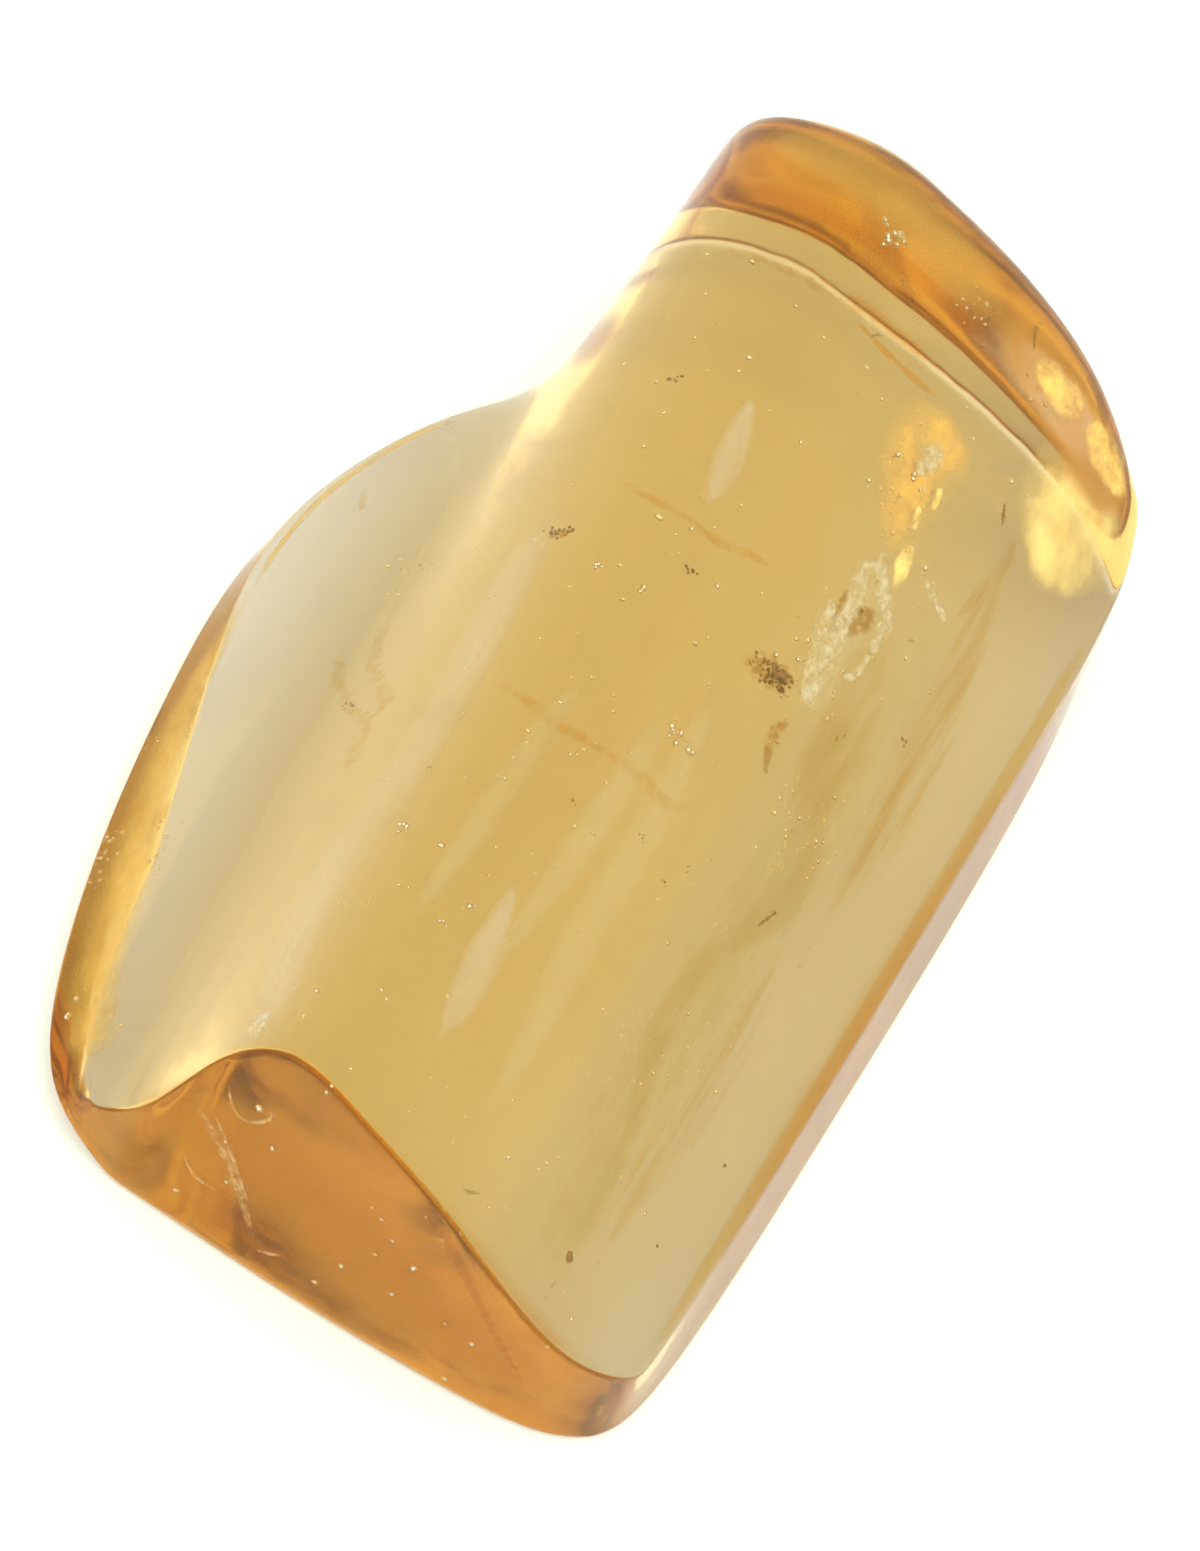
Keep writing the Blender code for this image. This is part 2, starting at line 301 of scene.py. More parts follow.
def clear_resin_material():
    """Clear golden resin: plain transmission with an even take-up of blue and green along the light's way."""
    material, tree, surface = new_material("clear golden resin")
    surface.inputs["Base Color"].default_value = (1.0, 1.0, 1.0, 1.0)
    surface.inputs["Transmission Weight"].default_value = 1.0
    surface.inputs["IOR"].default_value = RESIN_IOR
    surface.inputs["Specular Tint"].default_value = RESIN_SHINE_TINT
    place = tree.nodes.new("ShaderNodeTexCoord")
    patches = tree.nodes.new("ShaderNodeTexNoise")
    patches.inputs["Scale"].default_value = POLISH_PATCHES
    patches.inputs["Detail"].default_value = POLISH_DETAIL
    dulled = tree.nodes.new("ShaderNodeMapRange")
    dulled.inputs["To Min"].default_value = POLISH_BEST
    dulled.inputs["To Max"].default_value = POLISH_DULLEST
    ripples = tree.nodes.new("ShaderNodeTexNoise")
    ripples.inputs["Scale"].default_value = RIPPLES
    ripples.inputs["Detail"].default_value = POLISH_DETAIL
    uneven = tree.nodes.new("ShaderNodeBump")
    uneven.inputs["Strength"].default_value = 1.0
    uneven.inputs["Distance"].default_value = RIPPLE_HEIGHT
    link = tree.links.new
    link(place.outputs["Object"], patches.inputs["Vector"])
    link(patches.outputs["Fac"], dulled.inputs["Value"])
    link(dulled.outputs["Result"], surface.inputs["Roughness"])
    link(place.outputs["Object"], ripples.inputs["Vector"])
    link(ripples.outputs["Fac"], uneven.inputs["Height"])
    link(uneven.outputs["Normal"], surface.inputs["Normal"])
    inside = tree.nodes.new("ShaderNodeVolumeAbsorption")
    inside.inputs["Color"].default_value = RESIN_TAKES_UP
    inside.inputs["Density"].default_value = RESIN_DENSITY
    link(inside.outputs["Volume"], tree.nodes["Material Output"].inputs["Volume"])
    return material


resin = bpy.data.objects.new("clear_resin", rough_lump())
bpy.context.scene.collection.objects.link(resin)
polished(resin, POLISH_LEVELS)
resin.data.materials.append(clear_resin_material())
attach(resin, "root")
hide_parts("copal_resin")

# ---------------------------------------------------------------------------------------------------------
# The camera looks down on the piece from its near end, turned so that the piece leans to the right. It comes
# before the flows, because much of what is sealed inside is placed along its lines of sight.

LOOK_DOWN = math.radians(55)
LEAN = math.radians(30.7)
CAMERA_DISTANCE = 0.7
CAMERA_REACH = 20.0
FRAME_ACROSS, FRAME_DOWN = 1200, 1551
# The millimetres that one pixel of the frame spans at the point that the camera aims at.
PIXEL = 0.043
AIM_AT = Vector((0.737, 2.091, 0.0)) * MM
FILM_HEIGHT = 24.0

across = Vector((1, 0, 0))
upward = Vector((0, math.sin(LOOK_DOWN), math.cos(LOOK_DOWN)))
backward = Vector((0, -math.cos(LOOK_DOWN), math.sin(LOOK_DOWN)))
frame_right = across * math.cos(LEAN) + upward * math.sin(LEAN)
frame_up = upward * math.cos(LEAN) - across * math.sin(LEAN)
camera_place = Matrix((frame_right, frame_up, backward)).transposed().to_4x4()
camera_place.translation = AIM_AT + backward * CAMERA_DISTANCE

camera_data = bpy.data.cameras.new("camera")
camera = bpy.data.objects.new("camera", camera_data)
bpy.context.scene.collection.objects.link(camera)
camera.matrix_world = camera_place
camera_data.sensor_fit = "VERTICAL"
camera_data.sensor_height = FILM_HEIGHT
camera_data.lens = FILM_HEIGHT * CAMERA_DISTANCE / (FRAME_DOWN * PIXEL * MM)
camera_data.clip_end = CAMERA_REACH
bpy.context.scene.camera = camera

# ---------------------------------------------------------------------------------------------------------
# Flows sealed in the resin. The sap ran down the tree in several coats, and where one coat met the next a
# thin film of darker, milkier or redder resin stayed between them. Each film is a lens-shaped sheet that
# follows the polished top a little way below it: clear resin of another tint, fading out towards its edges.

STEPS_PER_SPAN = 8
FILM_COLUMNS = 8
FILM_THICKNESS = 0.06
LEAST_COVER = 0.04
HALVINGS = 14
# A film fades in over the first sixth of its way and out over the last.
END_FADE = 6
FILM_DETAIL, FILM_NOISE_ROUGHNESS = 5.0, 0.6
RAGGED_SWING = 4
RIM_SOLID_AT = 0.85
CLOUD_ROUGHNESS, CLOUD_SHINE = 0.35, 0.5
# Lines that look for a face start this far out, in mm. The near end lies before one place, the side past one.
FAR_OUT = 100.0
END_FACE_BEFORE = -20.0
SIDE_FACE_PAST = 12.0
# A line of sight is followed this far into the resin, in mm, in this many halvings. Behind the end face it
# counts as running inwards at least this steeply. What it finds is rounded to these decimals of a mm.
SIGHT_REACH = 20.0
SIGHT_HALVINGS = 30
LEAST_SLANT = 0.1
NEARLY_NOTHING = 1e-7
DECIMALS = 2

resin_surface = BVHTree.FromObject(resin, bpy.context.evaluated_depsgraph_get())


def covered(point):
    """The point, if enough resin covers it on every side, and otherwise nothing."""
    return point if resin_surface.find_nearest(point)[3] >= LEAST_COVER * MM else None


def top_place(x, y, depth):
    """The point that deep under the polished top, or nothing where the resin is too thin. All in mm."""
    top = resin_surface.ray_cast(Vector((x, y, FAR_OUT)) * MM, Vector((0, 0, -1)))[0]
    back = resin_surface.ray_cast(Vector((x, y, -FAR_OUT)) * MM, Vector((0, 0, 1)))[0]
    if not top or top.z - back.z < 2 * depth * MM:
        return None
    return covered(top - Vector((0, 0, depth)) * MM)


def end_place(x, z, depth):
    """The point that deep behind the near end face at a height, or nothing past its edge. All in mm."""
    face = resin_surface.ray_cast(Vector((x, -FAR_OUT, z)) * MM, Vector((0, 1, 0)))[0]
    if not face or face.y > END_FACE_BEFORE * MM:
        return None
    return covered(face + Vector((0, depth, 0)) * MM)


def side_place(y, z, depth):
    """The point that deep behind the right side at a height, or nothing past its edge. All in mm."""
    face = resin_surface.ray_cast(Vector((FAR_OUT, y, z)) * MM, Vector((-1, 0, 0)))[0]
    if not face or face.x < SIDE_FACE_PAST * MM:
        return None
    return covered(face - Vector((depth, 0, 0)) * MM)


# A place well inside each face, that a film is drawn in towards where the resin is too thin for it.
MIDDLE = {top_place: Vector((0.0, 0.0)), end_place: Vector((0.0, 3.5)), side_place: Vector((0.0, 2.6))}


def furthest(start, end, depths, placed):
    """The place furthest from start towards end where a film of those depths still fits."""
    near, far = 0.0, 1.0
    if all(placed(end.x, end.y, depth) for depth in depths):
        return end
    for _ in range(HALVINGS):
        middle = (near + far) / 2
        at = start.lerp(end, middle)
        fits = all(placed(at.x, at.y, depth) for depth in depths)
        near, far = (middle, far) if fits else (near, middle)
    return start.lerp(end, near)


def under_top(x, y, depth):
    """The point that deep under the top, drawn in from the rim where the resin is too thin for it."""
    at = furthest(MIDDLE[top_place], Vector((x, y)), (depth,), top_place)
    return top_place(at.x, at.y, depth)


def behind_end(x, z, depth):
    """The point that deep behind the near end face, drawn in from its edge where it has to be."""
    at = furthest(MIDDLE[end_place], Vector((x, z)), (depth,), end_place)
    return end_place(at.x, at.y, depth)


def upright(right, up):
    """The point of the aimed plane at those pixels across and up the piece from the middle of the frame."""
    return AIM_AT + (across * right + upward * up) * PIXEL * MM


def level(right, down):
    """The point of the aimed plane at those pixels from the frame's top left corner."""
    aside, above = right - FRAME_ACROSS / 2, FRAME_DOWN / 2 - down
    return AIM_AT + (frame_right * aside + frame_up * above) * PIXEL * MM


def line_into_resin(point):
    """Where the camera's line of sight through a point enters the resin, and the way it goes on inside."""
    way = (point - camera_place.translation).normalized()
    entry, _, face, _ = resin_surface.ray_cast(camera_place.translation, way)
    tilt = Vector((0, 0, 0))
    for number in resin.data.polygons[face].vertices:
        corner = resin.data.vertices[number]
        tilt += corner.normal / ((corner.co - entry).length + NEARLY_NOTHING) ** 2
    tilt.normalize()
    slowed = 1 / RESIN_IOR
    facing = -way.dot(tilt)
    onward = math.sqrt(1 - slowed ** 2 * (1 - facing ** 2))
    return entry, (way * slowed + tilt * (slowed * facing - onward)).normalized()


def seen(picks, depth, point_of=upright):
    """Where the things that show at those picks lie, that deep under the top, as (across, along) in mm."""
    places = []
    for pick in picks:
        entry, inside = line_into_resin(point_of(*pick))
        near, far = 0.0, SIGHT_REACH * MM
        for _ in range(SIGHT_HALVINGS):
            middle = (near + far) / 2
            at = entry + inside * middle
            top = resin_surface.ray_cast(Vector((at.x, at.y, FAR_OUT * MM)), Vector((0, 0, -1)))[0]
            near, far = (middle, far) if top and top.z - at.z < depth * MM else (near, middle)
        at = entry + inside * near
        places.append((round(at.x / MM, DECIMALS), round(at.y / MM, DECIMALS)))
    return places


def seen_through_end(picks, depth):
    """Where the things that show at those picks lie, that deep behind the near end, as (across, height)."""
    places = []
    for pick in picks:
        entry, inside = line_into_resin(level(*pick))
        at = entry + inside * (depth * MM / max(inside.y, LEAST_SLANT))
        places.append((round(at.x / MM, DECIMALS), round(at.z / MM, DECIMALS)))
    return places


def smooth_path(points):
    """A smooth run of points through the given ones, with its direction at each."""
    padded = [points[0]] + list(points) + [points[-1]]
    run = []
    for i in range(1, len(padded) - 2):
        a, b, c, d = [Vector(p) for p in padded[i - 1:i + 3]]
        steps = STEPS_PER_SPAN + (1 if i == len(padded) - 3 else 0)
        for k in range(steps):
            t = k / STEPS_PER_SPAN
            bend = 2 * a - 5 * b + 4 * c - d
            swing = 3 * b - a - 3 * c + d
            run.append(0.5 * (2 * b + (c - a) * t + bend * t * t + swing * t ** 3))
    return run


def width_along(widths, share):
    """The width at a share of the way along, from a short list of widths."""
    place = share * (len(widths) - 1)
    index = min(int(place), len(widths) - 2)
    return between(widths[index], widths[index + 1], place - index)


def add_film(form, strength, points, widths, depth, placed, clear_below):
    """Add one film to a mesh: an upper and a lower sheet that meet at the rim, strongest along the middle."""
    depths = (depth, depth + FILM_THICKNESS)
    run = [furthest(MIDDLE[placed], point, depths, placed) for point in smooth_path(points)]
    rows = []
    for i, centre in enumerate(run):
        ahead = run[min(i + 1, len(run) - 1)] - run[max(i - 1, 0)]
        side = Vector((ahead.y, -ahead.x)).normalized()
        share = i / (len(run) - 1)
        half_width = width_along(widths, share) / 2
        left = furthest(centre, centre - side * half_width, depths, placed)
        right = furthest(centre, centre + side * half_width, depths, placed)
        row = []
        for k in range(FILM_COLUMNS + 1):
            aside = 2 * k / FILM_COLUMNS - 1
            at = furthest(centre, left.lerp(right, k / FILM_COLUMNS), depths, placed)
            ends = min(1.0, END_FADE * share, END_FADE * (1 - share))
            fade = (1 - aside * aside) * ends
            upper = form.verts.new(placed(at.x, at.y, depth))
            lower = upper
            if 0 < k < FILM_COLUMNS and 0 < i < len(run) - 1:
                lower = form.verts.new(placed(at.x, at.y, depth + FILM_THICKNESS * fade))
                lower[strength] = 0.0 if clear_below else fade
            upper[strength] = fade
            row.append((upper, lower))
        rows.append(row)
    faces = []
    for r, s in zip(rows, rows[1:]):
        for k in range(FILM_COLUMNS):
            faces.append(form.faces.new([r[k][0], r[k + 1][0], s[k + 1][0], s[k][0]]))
            under = [r[k][1], s[k][1], s[k + 1][1], r[k + 1][1]]
            if set(under) != {r[k][0], s[k][0], s[k + 1][0], r[k + 1][0]}:
                faces.append(form.faces.new(under))
    if enclosed(faces) < 0:
        bmesh.ops.reverse_faces(form, faces=faces)


def enclosed(faces):
    """The space that faces close in, below nothing where they point inwards."""
    space = 0.0
    middle = faces[0].verts[0].co
    for face in faces:
        corners = [corner.vert.co - middle for corner in face.loops]
        for b, c in zip(corners[1:], corners[2:]):
            space += corners[0].dot(b.cross(c)) / 6
    return space


def film_pattern(tree, grain, ragged, start, full):
    """Where a film shows: strongest along its middle, broken up by grain, and nothing at its rim."""
    link = tree.links.new
    film = tree.nodes.new("ShaderNodeAttribute")
    film.attribute_name = "film_strength"
    place = tree.nodes.new("ShaderNodeTexCoord")
    stretch = tree.nodes.new("ShaderNodeMapping")
    stretch.inputs["Scale"].default_value = grain
    noise = tree.nodes.new("ShaderNodeTexNoise")
    noise.inputs["Scale"].default_value = 1.0
    noise.inputs["Detail"].default_value = FILM_DETAIL
    noise.inputs["Roughness"].default_value = FILM_NOISE_ROUGHNESS
    centred = tree.nodes.new("ShaderNodeMath")
    centred.operation = "SUBTRACT"
    centred.inputs[1].default_value = 0.5
    broken = tree.nodes.new("ShaderNodeMath")
    broken.operation = "MULTIPLY_ADD"
    broken.inputs[1].default_value = RAGGED_SWING * ragged
    spread = tree.nodes.new("ShaderNodeMapRange")
    spread.interpolation_type = "SMOOTHSTEP"
    spread.inputs["From Min"].default_value = start
    spread.inputs["From Max"].default_value = full
    rim = tree.nodes.new("ShaderNodeMapRange")
    rim.interpolation_type = "SMOOTHSTEP"
    rim.inputs["From Max"].default_value = RIM_SOLID_AT
    inside = tree.nodes.new("ShaderNodeMath")
    inside.operation = "MULTIPLY"
    link(place.outputs["Object"], stretch.inputs["Vector"])
    link(stretch.outputs["Vector"], noise.inputs["Vector"])
    link(noise.outputs["Fac"], centred.inputs[0])
    link(centred.outputs[0], broken.inputs[0])
    link(film.outputs["Fac"], broken.inputs[2])
    link(broken.outputs[0], spread.inputs["Value"])
    link(film.outputs["Fac"], rim.inputs["Value"])
    link(spread.outputs["Result"], inside.inputs[0])
    link(rim.outputs["Result"], inside.inputs[1])
    return inside.outputs[0], noise.outputs["Fac"]


def tinted_resin(name, tint, grain, ragged=0.5, start=0.15, full=0.75):
    """Clear resin of another tint."""
    material, tree, surface = new_material(name)
    surface.inputs["IOR"].default_value = 1.0
    surface.inputs["Transmission Weight"].default_value = 1.0
    surface.inputs["Roughness"].default_value = 0.0
    inside, _ = film_pattern(tree, grain, ragged, start, full)
    colour = tree.nodes.new("ShaderNodeMix")
    colour.data_type = "RGBA"
    colour.inputs["A"].default_value = (1.0, 1.0, 1.0, 1.0)
    colour.inputs["B"].default_value = tint
    tree.links.new(inside, colour.inputs["Factor"])
    tree.links.new(colour.outputs["Result"], surface.inputs["Base Color"])
    return material


def cloudy_resin(name, dark, light, grain, ragged=0.5, start=0.15, full=0.75, thickest=0.6, metal=0.0):
    """A milky or glinting veil that hides part of what is behind it, most where the film is strongest."""
    material, tree, surface = new_material(name)
    surface.inputs["Roughness"].default_value = CLOUD_ROUGHNESS
    surface.inputs["Metallic"].default_value = metal
    surface.inputs["Specular IOR Level"].default_value = CLOUD_SHINE * metal
    inside, noise = film_pattern(tree, grain, ragged, start, full)
    colour = tree.nodes.new("ShaderNodeMix")
    colour.data_type = "RGBA"
    colour.inputs["A"].default_value = dark
    colour.inputs["B"].default_value = light
    veil = tree.nodes.new("ShaderNodeMath")
    veil.operation = "MULTIPLY"
    veil.inputs[1].default_value = thickest
    tree.links.new(noise, colour.inputs["Factor"])
    tree.links.new(colour.outputs["Result"], surface.inputs["Base Color"])
    tree.links.new(inside, veil.inputs[0])
    tree.links.new(veil.outputs[0], surface.inputs["Alpha"])
    return material


def films(name, material, sheets, placed=top_place, clear_below=False):
    """One piece made of several films of the same resin."""
    form = bmesh.new()
    strength = form.verts.layers.float.new("film_strength")
    for depth, widths, points in sheets:
        add_film(form, strength, points, widths, depth, placed, clear_below)
    mesh = bpy.data.meshes.new(name)
    form.to_mesh(mesh)
    form.free()
    mesh.shade_smooth()
    mesh.materials.append(material)
    piece = bpy.data.objects.new(name, mesh)
    bpy.context.scene.collection.objects.link(piece)
    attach(piece, "root")
    return piece


def sheet(depth, widths, through):
    """One film: how deep it lies, how wide it is along its way, and the places that its middle passes."""
    return depth, widths, through


def stacked(depths, lines):
    """The same thin sheets again at each depth. Several faint ones look softer than a single thick one."""
    return [sheet(depth, widths, through) for depth in depths for widths, through in lines]


# A place is (across, along) in mm, and on an end or side face (across, height) or (along, height). A list
# named ..._PICKS holds the pixels where a film shows, turned upright with the piece unless it says LEVEL.

OLIVE_RIVER_PICKS = (
    (216, 268), (205, 190), (200, 120), (214, 40), (205, -40),
    (196, -107), (195, -212), (190, -290), (198, -360), (205, -430),
)
films("olive_flow", tinted_resin(
    "olive resin", tint=(0.94, 0.9, 0.78, 1.0), grain=(1200.0, 220.0, 1200.0),
    ragged=0.8, start=0.0, full=1.2,
), [
    sheet(depth=0.9, widths=(1.5, 3.4, 4.6, 3.8, 3.8, 4.0, 3.6, 3.6, 3.8, 1.5),
          through=seen(OLIVE_RIVER_PICKS, 0.9) + [(8.95, -27.3)]),
    sheet(depth=1.3, widths=(0.8, 1.6, 1.8, 1.4, 1.8, 1.2, 0.8),
          through=((8.9, 4.4), (9.5, 0.2), (9.9, -4.0), (8.4, -8.6), (8.1, -13.4), (9.3, -19.6),
                   (9.2, -26.6))),
    sheet(depth=0.7, widths=(1.0, 3.0, 3.6, 1.2), through=((7.0, 11.0), (8.0, 7.0), (8.6, 3.0), (8.2, -1.5))),
])

films("body_bands", tinted_resin(
    "soft gold resin", tint=(0.985, 0.95, 0.89, 1.0), grain=(450.0, 70.0, 450.0),
    ragged=1.0, start=0.2, full=1.7,
), [
    sheet(depth=2.0, widths=(2.0, 8.0, 12.0, 12.0, 12.0, 10.0, 3.0),
          through=((2.0, 21.0), (2.4, 13.0), (2.2, 5.0), (2.4, -4.0), (2.4, -12.0), (2.6, -20.0),
                   (3.0, -27.0))),
])

UPPER_VEIN_PICKS = ((-140, 262), (-100, 264), (-60, 266), (-20, 262), (20, 267), (60, 262))
LOWER_VEIN_PICKS = ((-150, 25), (-110, 28), (-60, 22), (-10, 24), (40, 18), (75, 10), (100, 20))
TOP_VEIN_PICKS = ((-170, 510), (-150, 520), (-120, 527), (-70, 532), (-40, 532), (0, 530), (30, 522))
WING_VEIN_LEVEL_PICKS = ((342, 638), (339, 674), (348, 704), (366, 722), (354, 752), (348, 788))
WING_BRANCH_LEVEL_PICKS = ((366, 722), (385, 700), (372, 660), (396, 608))
WING_CRACK_LEVEL_PICKS = ((366, 488), (360, 512))
crack_start, crack_end = seen(WING_CRACK_LEVEL_PICKS, 0.4, level)
films("red_veins", tinted_resin(
    "reddish resin", tint=(0.93, 0.8, 0.6, 1.0), grain=(2000.0, 2000.0, 2000.0),
    ragged=0.9, start=0.1, full=1.6,
), [
    sheet(depth=1.5, widths=(0.25, 0.7, 0.5, 0.8, 0.6, 0.2), through=seen(UPPER_VEIN_PICKS, 1.5)),
    sheet(depth=1.5, widths=(0.2, 0.7, 1.1, 0.5, 1.1, 1.0, 0.3), through=seen(LOWER_VEIN_PICKS, 1.5)),
    sheet(depth=1.0, widths=(0.3, 0.7, 0.6, 0.8, 0.6, 0.8, 0.3), through=seen(TOP_VEIN_PICKS, 1.0)),
    sheet(depth=0.8, widths=(0.2, 0.8, 0.7, 0.9, 0.8, 0.3), through=seen(WING_VEIN_LEVEL_PICKS, 0.8, level)),
    sheet(depth=0.7, widths=(0.2, 0.8, 0.7, 0.2), through=seen(WING_BRANCH_LEVEL_PICKS, 0.8, level)),
    sheet(depth=0.4, widths=(0.2, 0.5, 0.2), through=(crack_start, (-14.0, 5.9), crack_end)),
])

films("crumb_stain", tinted_resin(
    "earthy resin", tint=(0.72, 0.55, 0.32, 1.0), grain=(2600.0, 2600.0, 2600.0),
    ragged=0.9, start=0.0, full=1.2,
), [
    sheet(depth=0.75, widths=(0.4, 1.8, 2.0, 0.8), through=((3.2, 2.5), (4.1, 2.9), (4.9, 3.3), (5.7, 3.9))),
    sheet(depth=0.75, widths=(0.2, 0.9, 0.3), through=((-6.2, 3.0), (-5.8, 3.1), (-5.4, 3.2))),
    sheet(depth=0.55, widths=(0.4, 1.4, 1.2, 0.3), through=((7.0, 9.8), (6.9, 8.9), (6.7, 8.3), (6.44, 7.3))),
    sheet(depth=0.6, widths=(0.2, 0.6, 0.6, 0.2), through=((5.6, 9.4), (5.75, 8.5), (5.9, 7.6), (6.0, 6.8))),
    sheet(depth=0.8, widths=(0.2, 0.8, 0.7, 0.2), through=((6.3, 2.4), (6.0, 1.2), (6.2, 0.2), (6.6, -0.9))),
])

WEDGE_PICKS = ((-40, 540),)
films("far_wedges", tinted_resin(
    "orange resin", tint=(0.97, 0.78, 0.5, 1.0), grain=(1200.0, 1200.0, 1200.0), ragged=0.7,
), [
    sheet(depth=0.8, widths=(0.5, 0.9, 1.0, 0.3),
          through=seen(WEDGE_PICKS, 0.8) + [(0.61, 21.0), (2.33, 21.2), (4.04, 21.3)]),
    sheet(depth=0.65, widths=(0.3, 0.5, 0.6, 0.3),
          through=((0.18, 20.04), (1.47, 19.9), (3.18, 19.9), (4.89, 20.1))),
])

AMBER_STREAK_PICKS = ((236, 418), (240, 390), (235, 350), (225, 310))
films("side_flow", tinted_resin(
    "straw resin", tint=(0.93, 0.82, 0.63, 1.0), grain=(1900.0, 130.0, 1900.0),
    ragged=1.0, start=0.2, full=1.8,
), [
    sheet(depth=0.8, widths=(0.3, 1.6, 2.6, 3.0, 2.8, 1.8, 0.5),
          through=((10.9, 18.6), (11.1, 15.0), (11.4, 12.0), (11.7, 8.5), (12.0, 4.5), (12.0, 0.5),
                   (11.7, -4.5))),
    sheet(depth=1.1, widths=(0.4, 1.8, 3.4, 3.8, 3.4, 2.4, 0.6),
          through=((10.7, 18.0), (10.9, 15.0), (11.2, 12.0), (11.5, 8.5), (11.8, 4.5), (11.9, 0.5),
                   (11.6, -5.5))),
    sheet(depth=1.1, widths=(0.4, 1.8, 2.2, 2.2, 0.4),
          through=((10.8, -5.0), (11.2, -9.8), (11.0, -14.5), (10.7, -19.0), (10.6, -24.0))),
    sheet(depth=0.7, widths=(0.3, 0.8, 0.7, 0.3), through=seen(AMBER_STREAK_PICKS, 0.9)),
])

films("side_rim", tinted_resin(
    "honey resin", tint=(0.96, 0.82, 0.55, 1.0), grain=(900.0, 150.0, 900.0), ragged=0.3, start=0.0, full=0.6,
), [
    sheet(depth=0.15, widths=(0.3, 1.3, 1.6, 1.7, 1.7, 1.7, 1.7, 1.6, 1.3, 0.3),
          through=((15.9, 19.5), (16.1, 16.0), (16.3, 11.0), (16.4, 6.0), (16.4, 0.0),
                   (16.3, -6.0), (16.1, -12.0), (15.9, -18.0), (15.6, -23.0), (15.0, -27.0))),
])
films("side_face", tinted_resin(
    "deep honey resin", tint=(0.93, 0.7, 0.36, 1.0), grain=(900.0, 150.0, 900.0),
    ragged=0.3, start=0.0, full=0.4,
), [
    sheet(depth=0.12, widths=(1.0, 4.0, 5.0, 5.0, 5.0, 4.0, 1.0),
          through=((19.0, 2.0), (14.0, 2.2), (6.0, 2.4), (-2.0, 2.6), (-10.0, 2.6), (-18.0, 2.6),
                   (-26.0, 2.0))),
], side_place)

films("far_end_deep", tinted_resin(
    "deep orange resin", tint=(0.97, 0.82, 0.6, 1.0), grain=(900.0, 900.0, 900.0),
    ragged=0.5, start=0.0, full=0.9,
), [
    sheet(depth=0.3, widths=(0.4, 1.2, 1.4, 1.4, 1.4, 1.2, 0.4),
          through=((-7.9, 24.4), (-6.0, 23.9), (-3.7, 23.7), (-1.2, 23.7), (1.2, 24.0), (3.9, 24.0),
                   (6.2, 23.8))),
])

WING_RIM_LEVEL_PICKS = ((470, 418), (384, 453))
wing_rim_start, wing_rim_bend = seen(WING_RIM_LEVEL_PICKS, 0.12, level)
films("milky_gold", cloudy_resin(
    "milky gold", dark=(0.85, 0.47, 0.07, 1.0), light=(1.0, 0.66, 0.16, 1.0),
    grain=(900.0, 400.0, 900.0), ragged=0.15, start=0.0, full=2.0, thickest=1.3,
), [
    sheet(depth=0.12, widths=(0.3, 0.9, 1.4, 2.0, 2.3, 2.5, 2.7, 2.9, 2.6, 1.2),
          through=((-16.0, 1.0), (-16.1, -3.0), (-15.9, -7.3), (-15.3, -12.0), (-14.5, -15.6),
                   (-13.8, -19.0), (-13.1, -21.8), (-12.4, -24.0), (-11.8, -25.6), (-11.3, -26.8))),
    sheet(depth=0.12, widths=(0.2, 0.5, 0.4, 0.5, 0.4, 0.4, 0.2),
          through=(wing_rim_start, (-13.2, 11.3), wing_rim_bend, (-15.4, 5.9), (-15.9, 3.5), (-16.1, 0.9),
                   (-16.1, -1.6))),
], clear_below=True)

films("far_end_milk", cloudy_resin(
    "milky ochre", dark=(0.82, 0.47, 0.09, 1.0), light=(0.96, 0.62, 0.17, 1.0),
    grain=(400.0, 400.0, 400.0), ragged=0.12, start=0.0, full=2.0, thickest=0.44,
), stacked((0.2, 0.4), [
    ((0.8, 3.4, 4.4, 4.6, 4.4, 2.0),
     ((-7.8, 27.2), (-5.2, 26.9), (-2.4, 26.6), (0.4, 26.3), (3.4, 26.0), (6.8, 25.8))),
]))
films("far_end_cloud", cloudy_resin(
    "cloudy amber", dark=(0.9, 0.4, 0.03, 1.0), light=(1.0, 0.56, 0.09, 1.0),
    grain=(500.0, 500.0, 500.0), ragged=0.15, start=0.0, full=2.0, thickest=0.45,
), stacked((0.3, 0.5, 0.7), [
    ((1.0, 4.6, 5.8, 5.8, 4.8, 1.8),
     ((4.4, 25.8), (7.1, 25.7), (9.6, 25.5), (11.8, 25.3), (13.4, 25.0), (14.9, 24.4))),
]))

films("end_haze", cloudy_resin(
    "cloudy orange", dark=(0.86, 0.34, 0.015, 1.0), light=(0.93, 0.45, 0.04, 1.0),
    grain=(400.0, 400.0, 400.0), ragged=0.1, start=0.0, full=2.0, thickest=0.46,
), stacked((0.4, 0.65, 0.9, 1.15), [
    ((2.0, 6.0, 10.5, 11.5, 9.0, 6.0, 2.0),
     ((-10.0, 3.6), (-5.5, 5.5), (-1.0, 6.8), (3.0, 6.0), (7.0, 4.8), (10.5, 3.6), (14.0, 2.4))),
]), end_place)

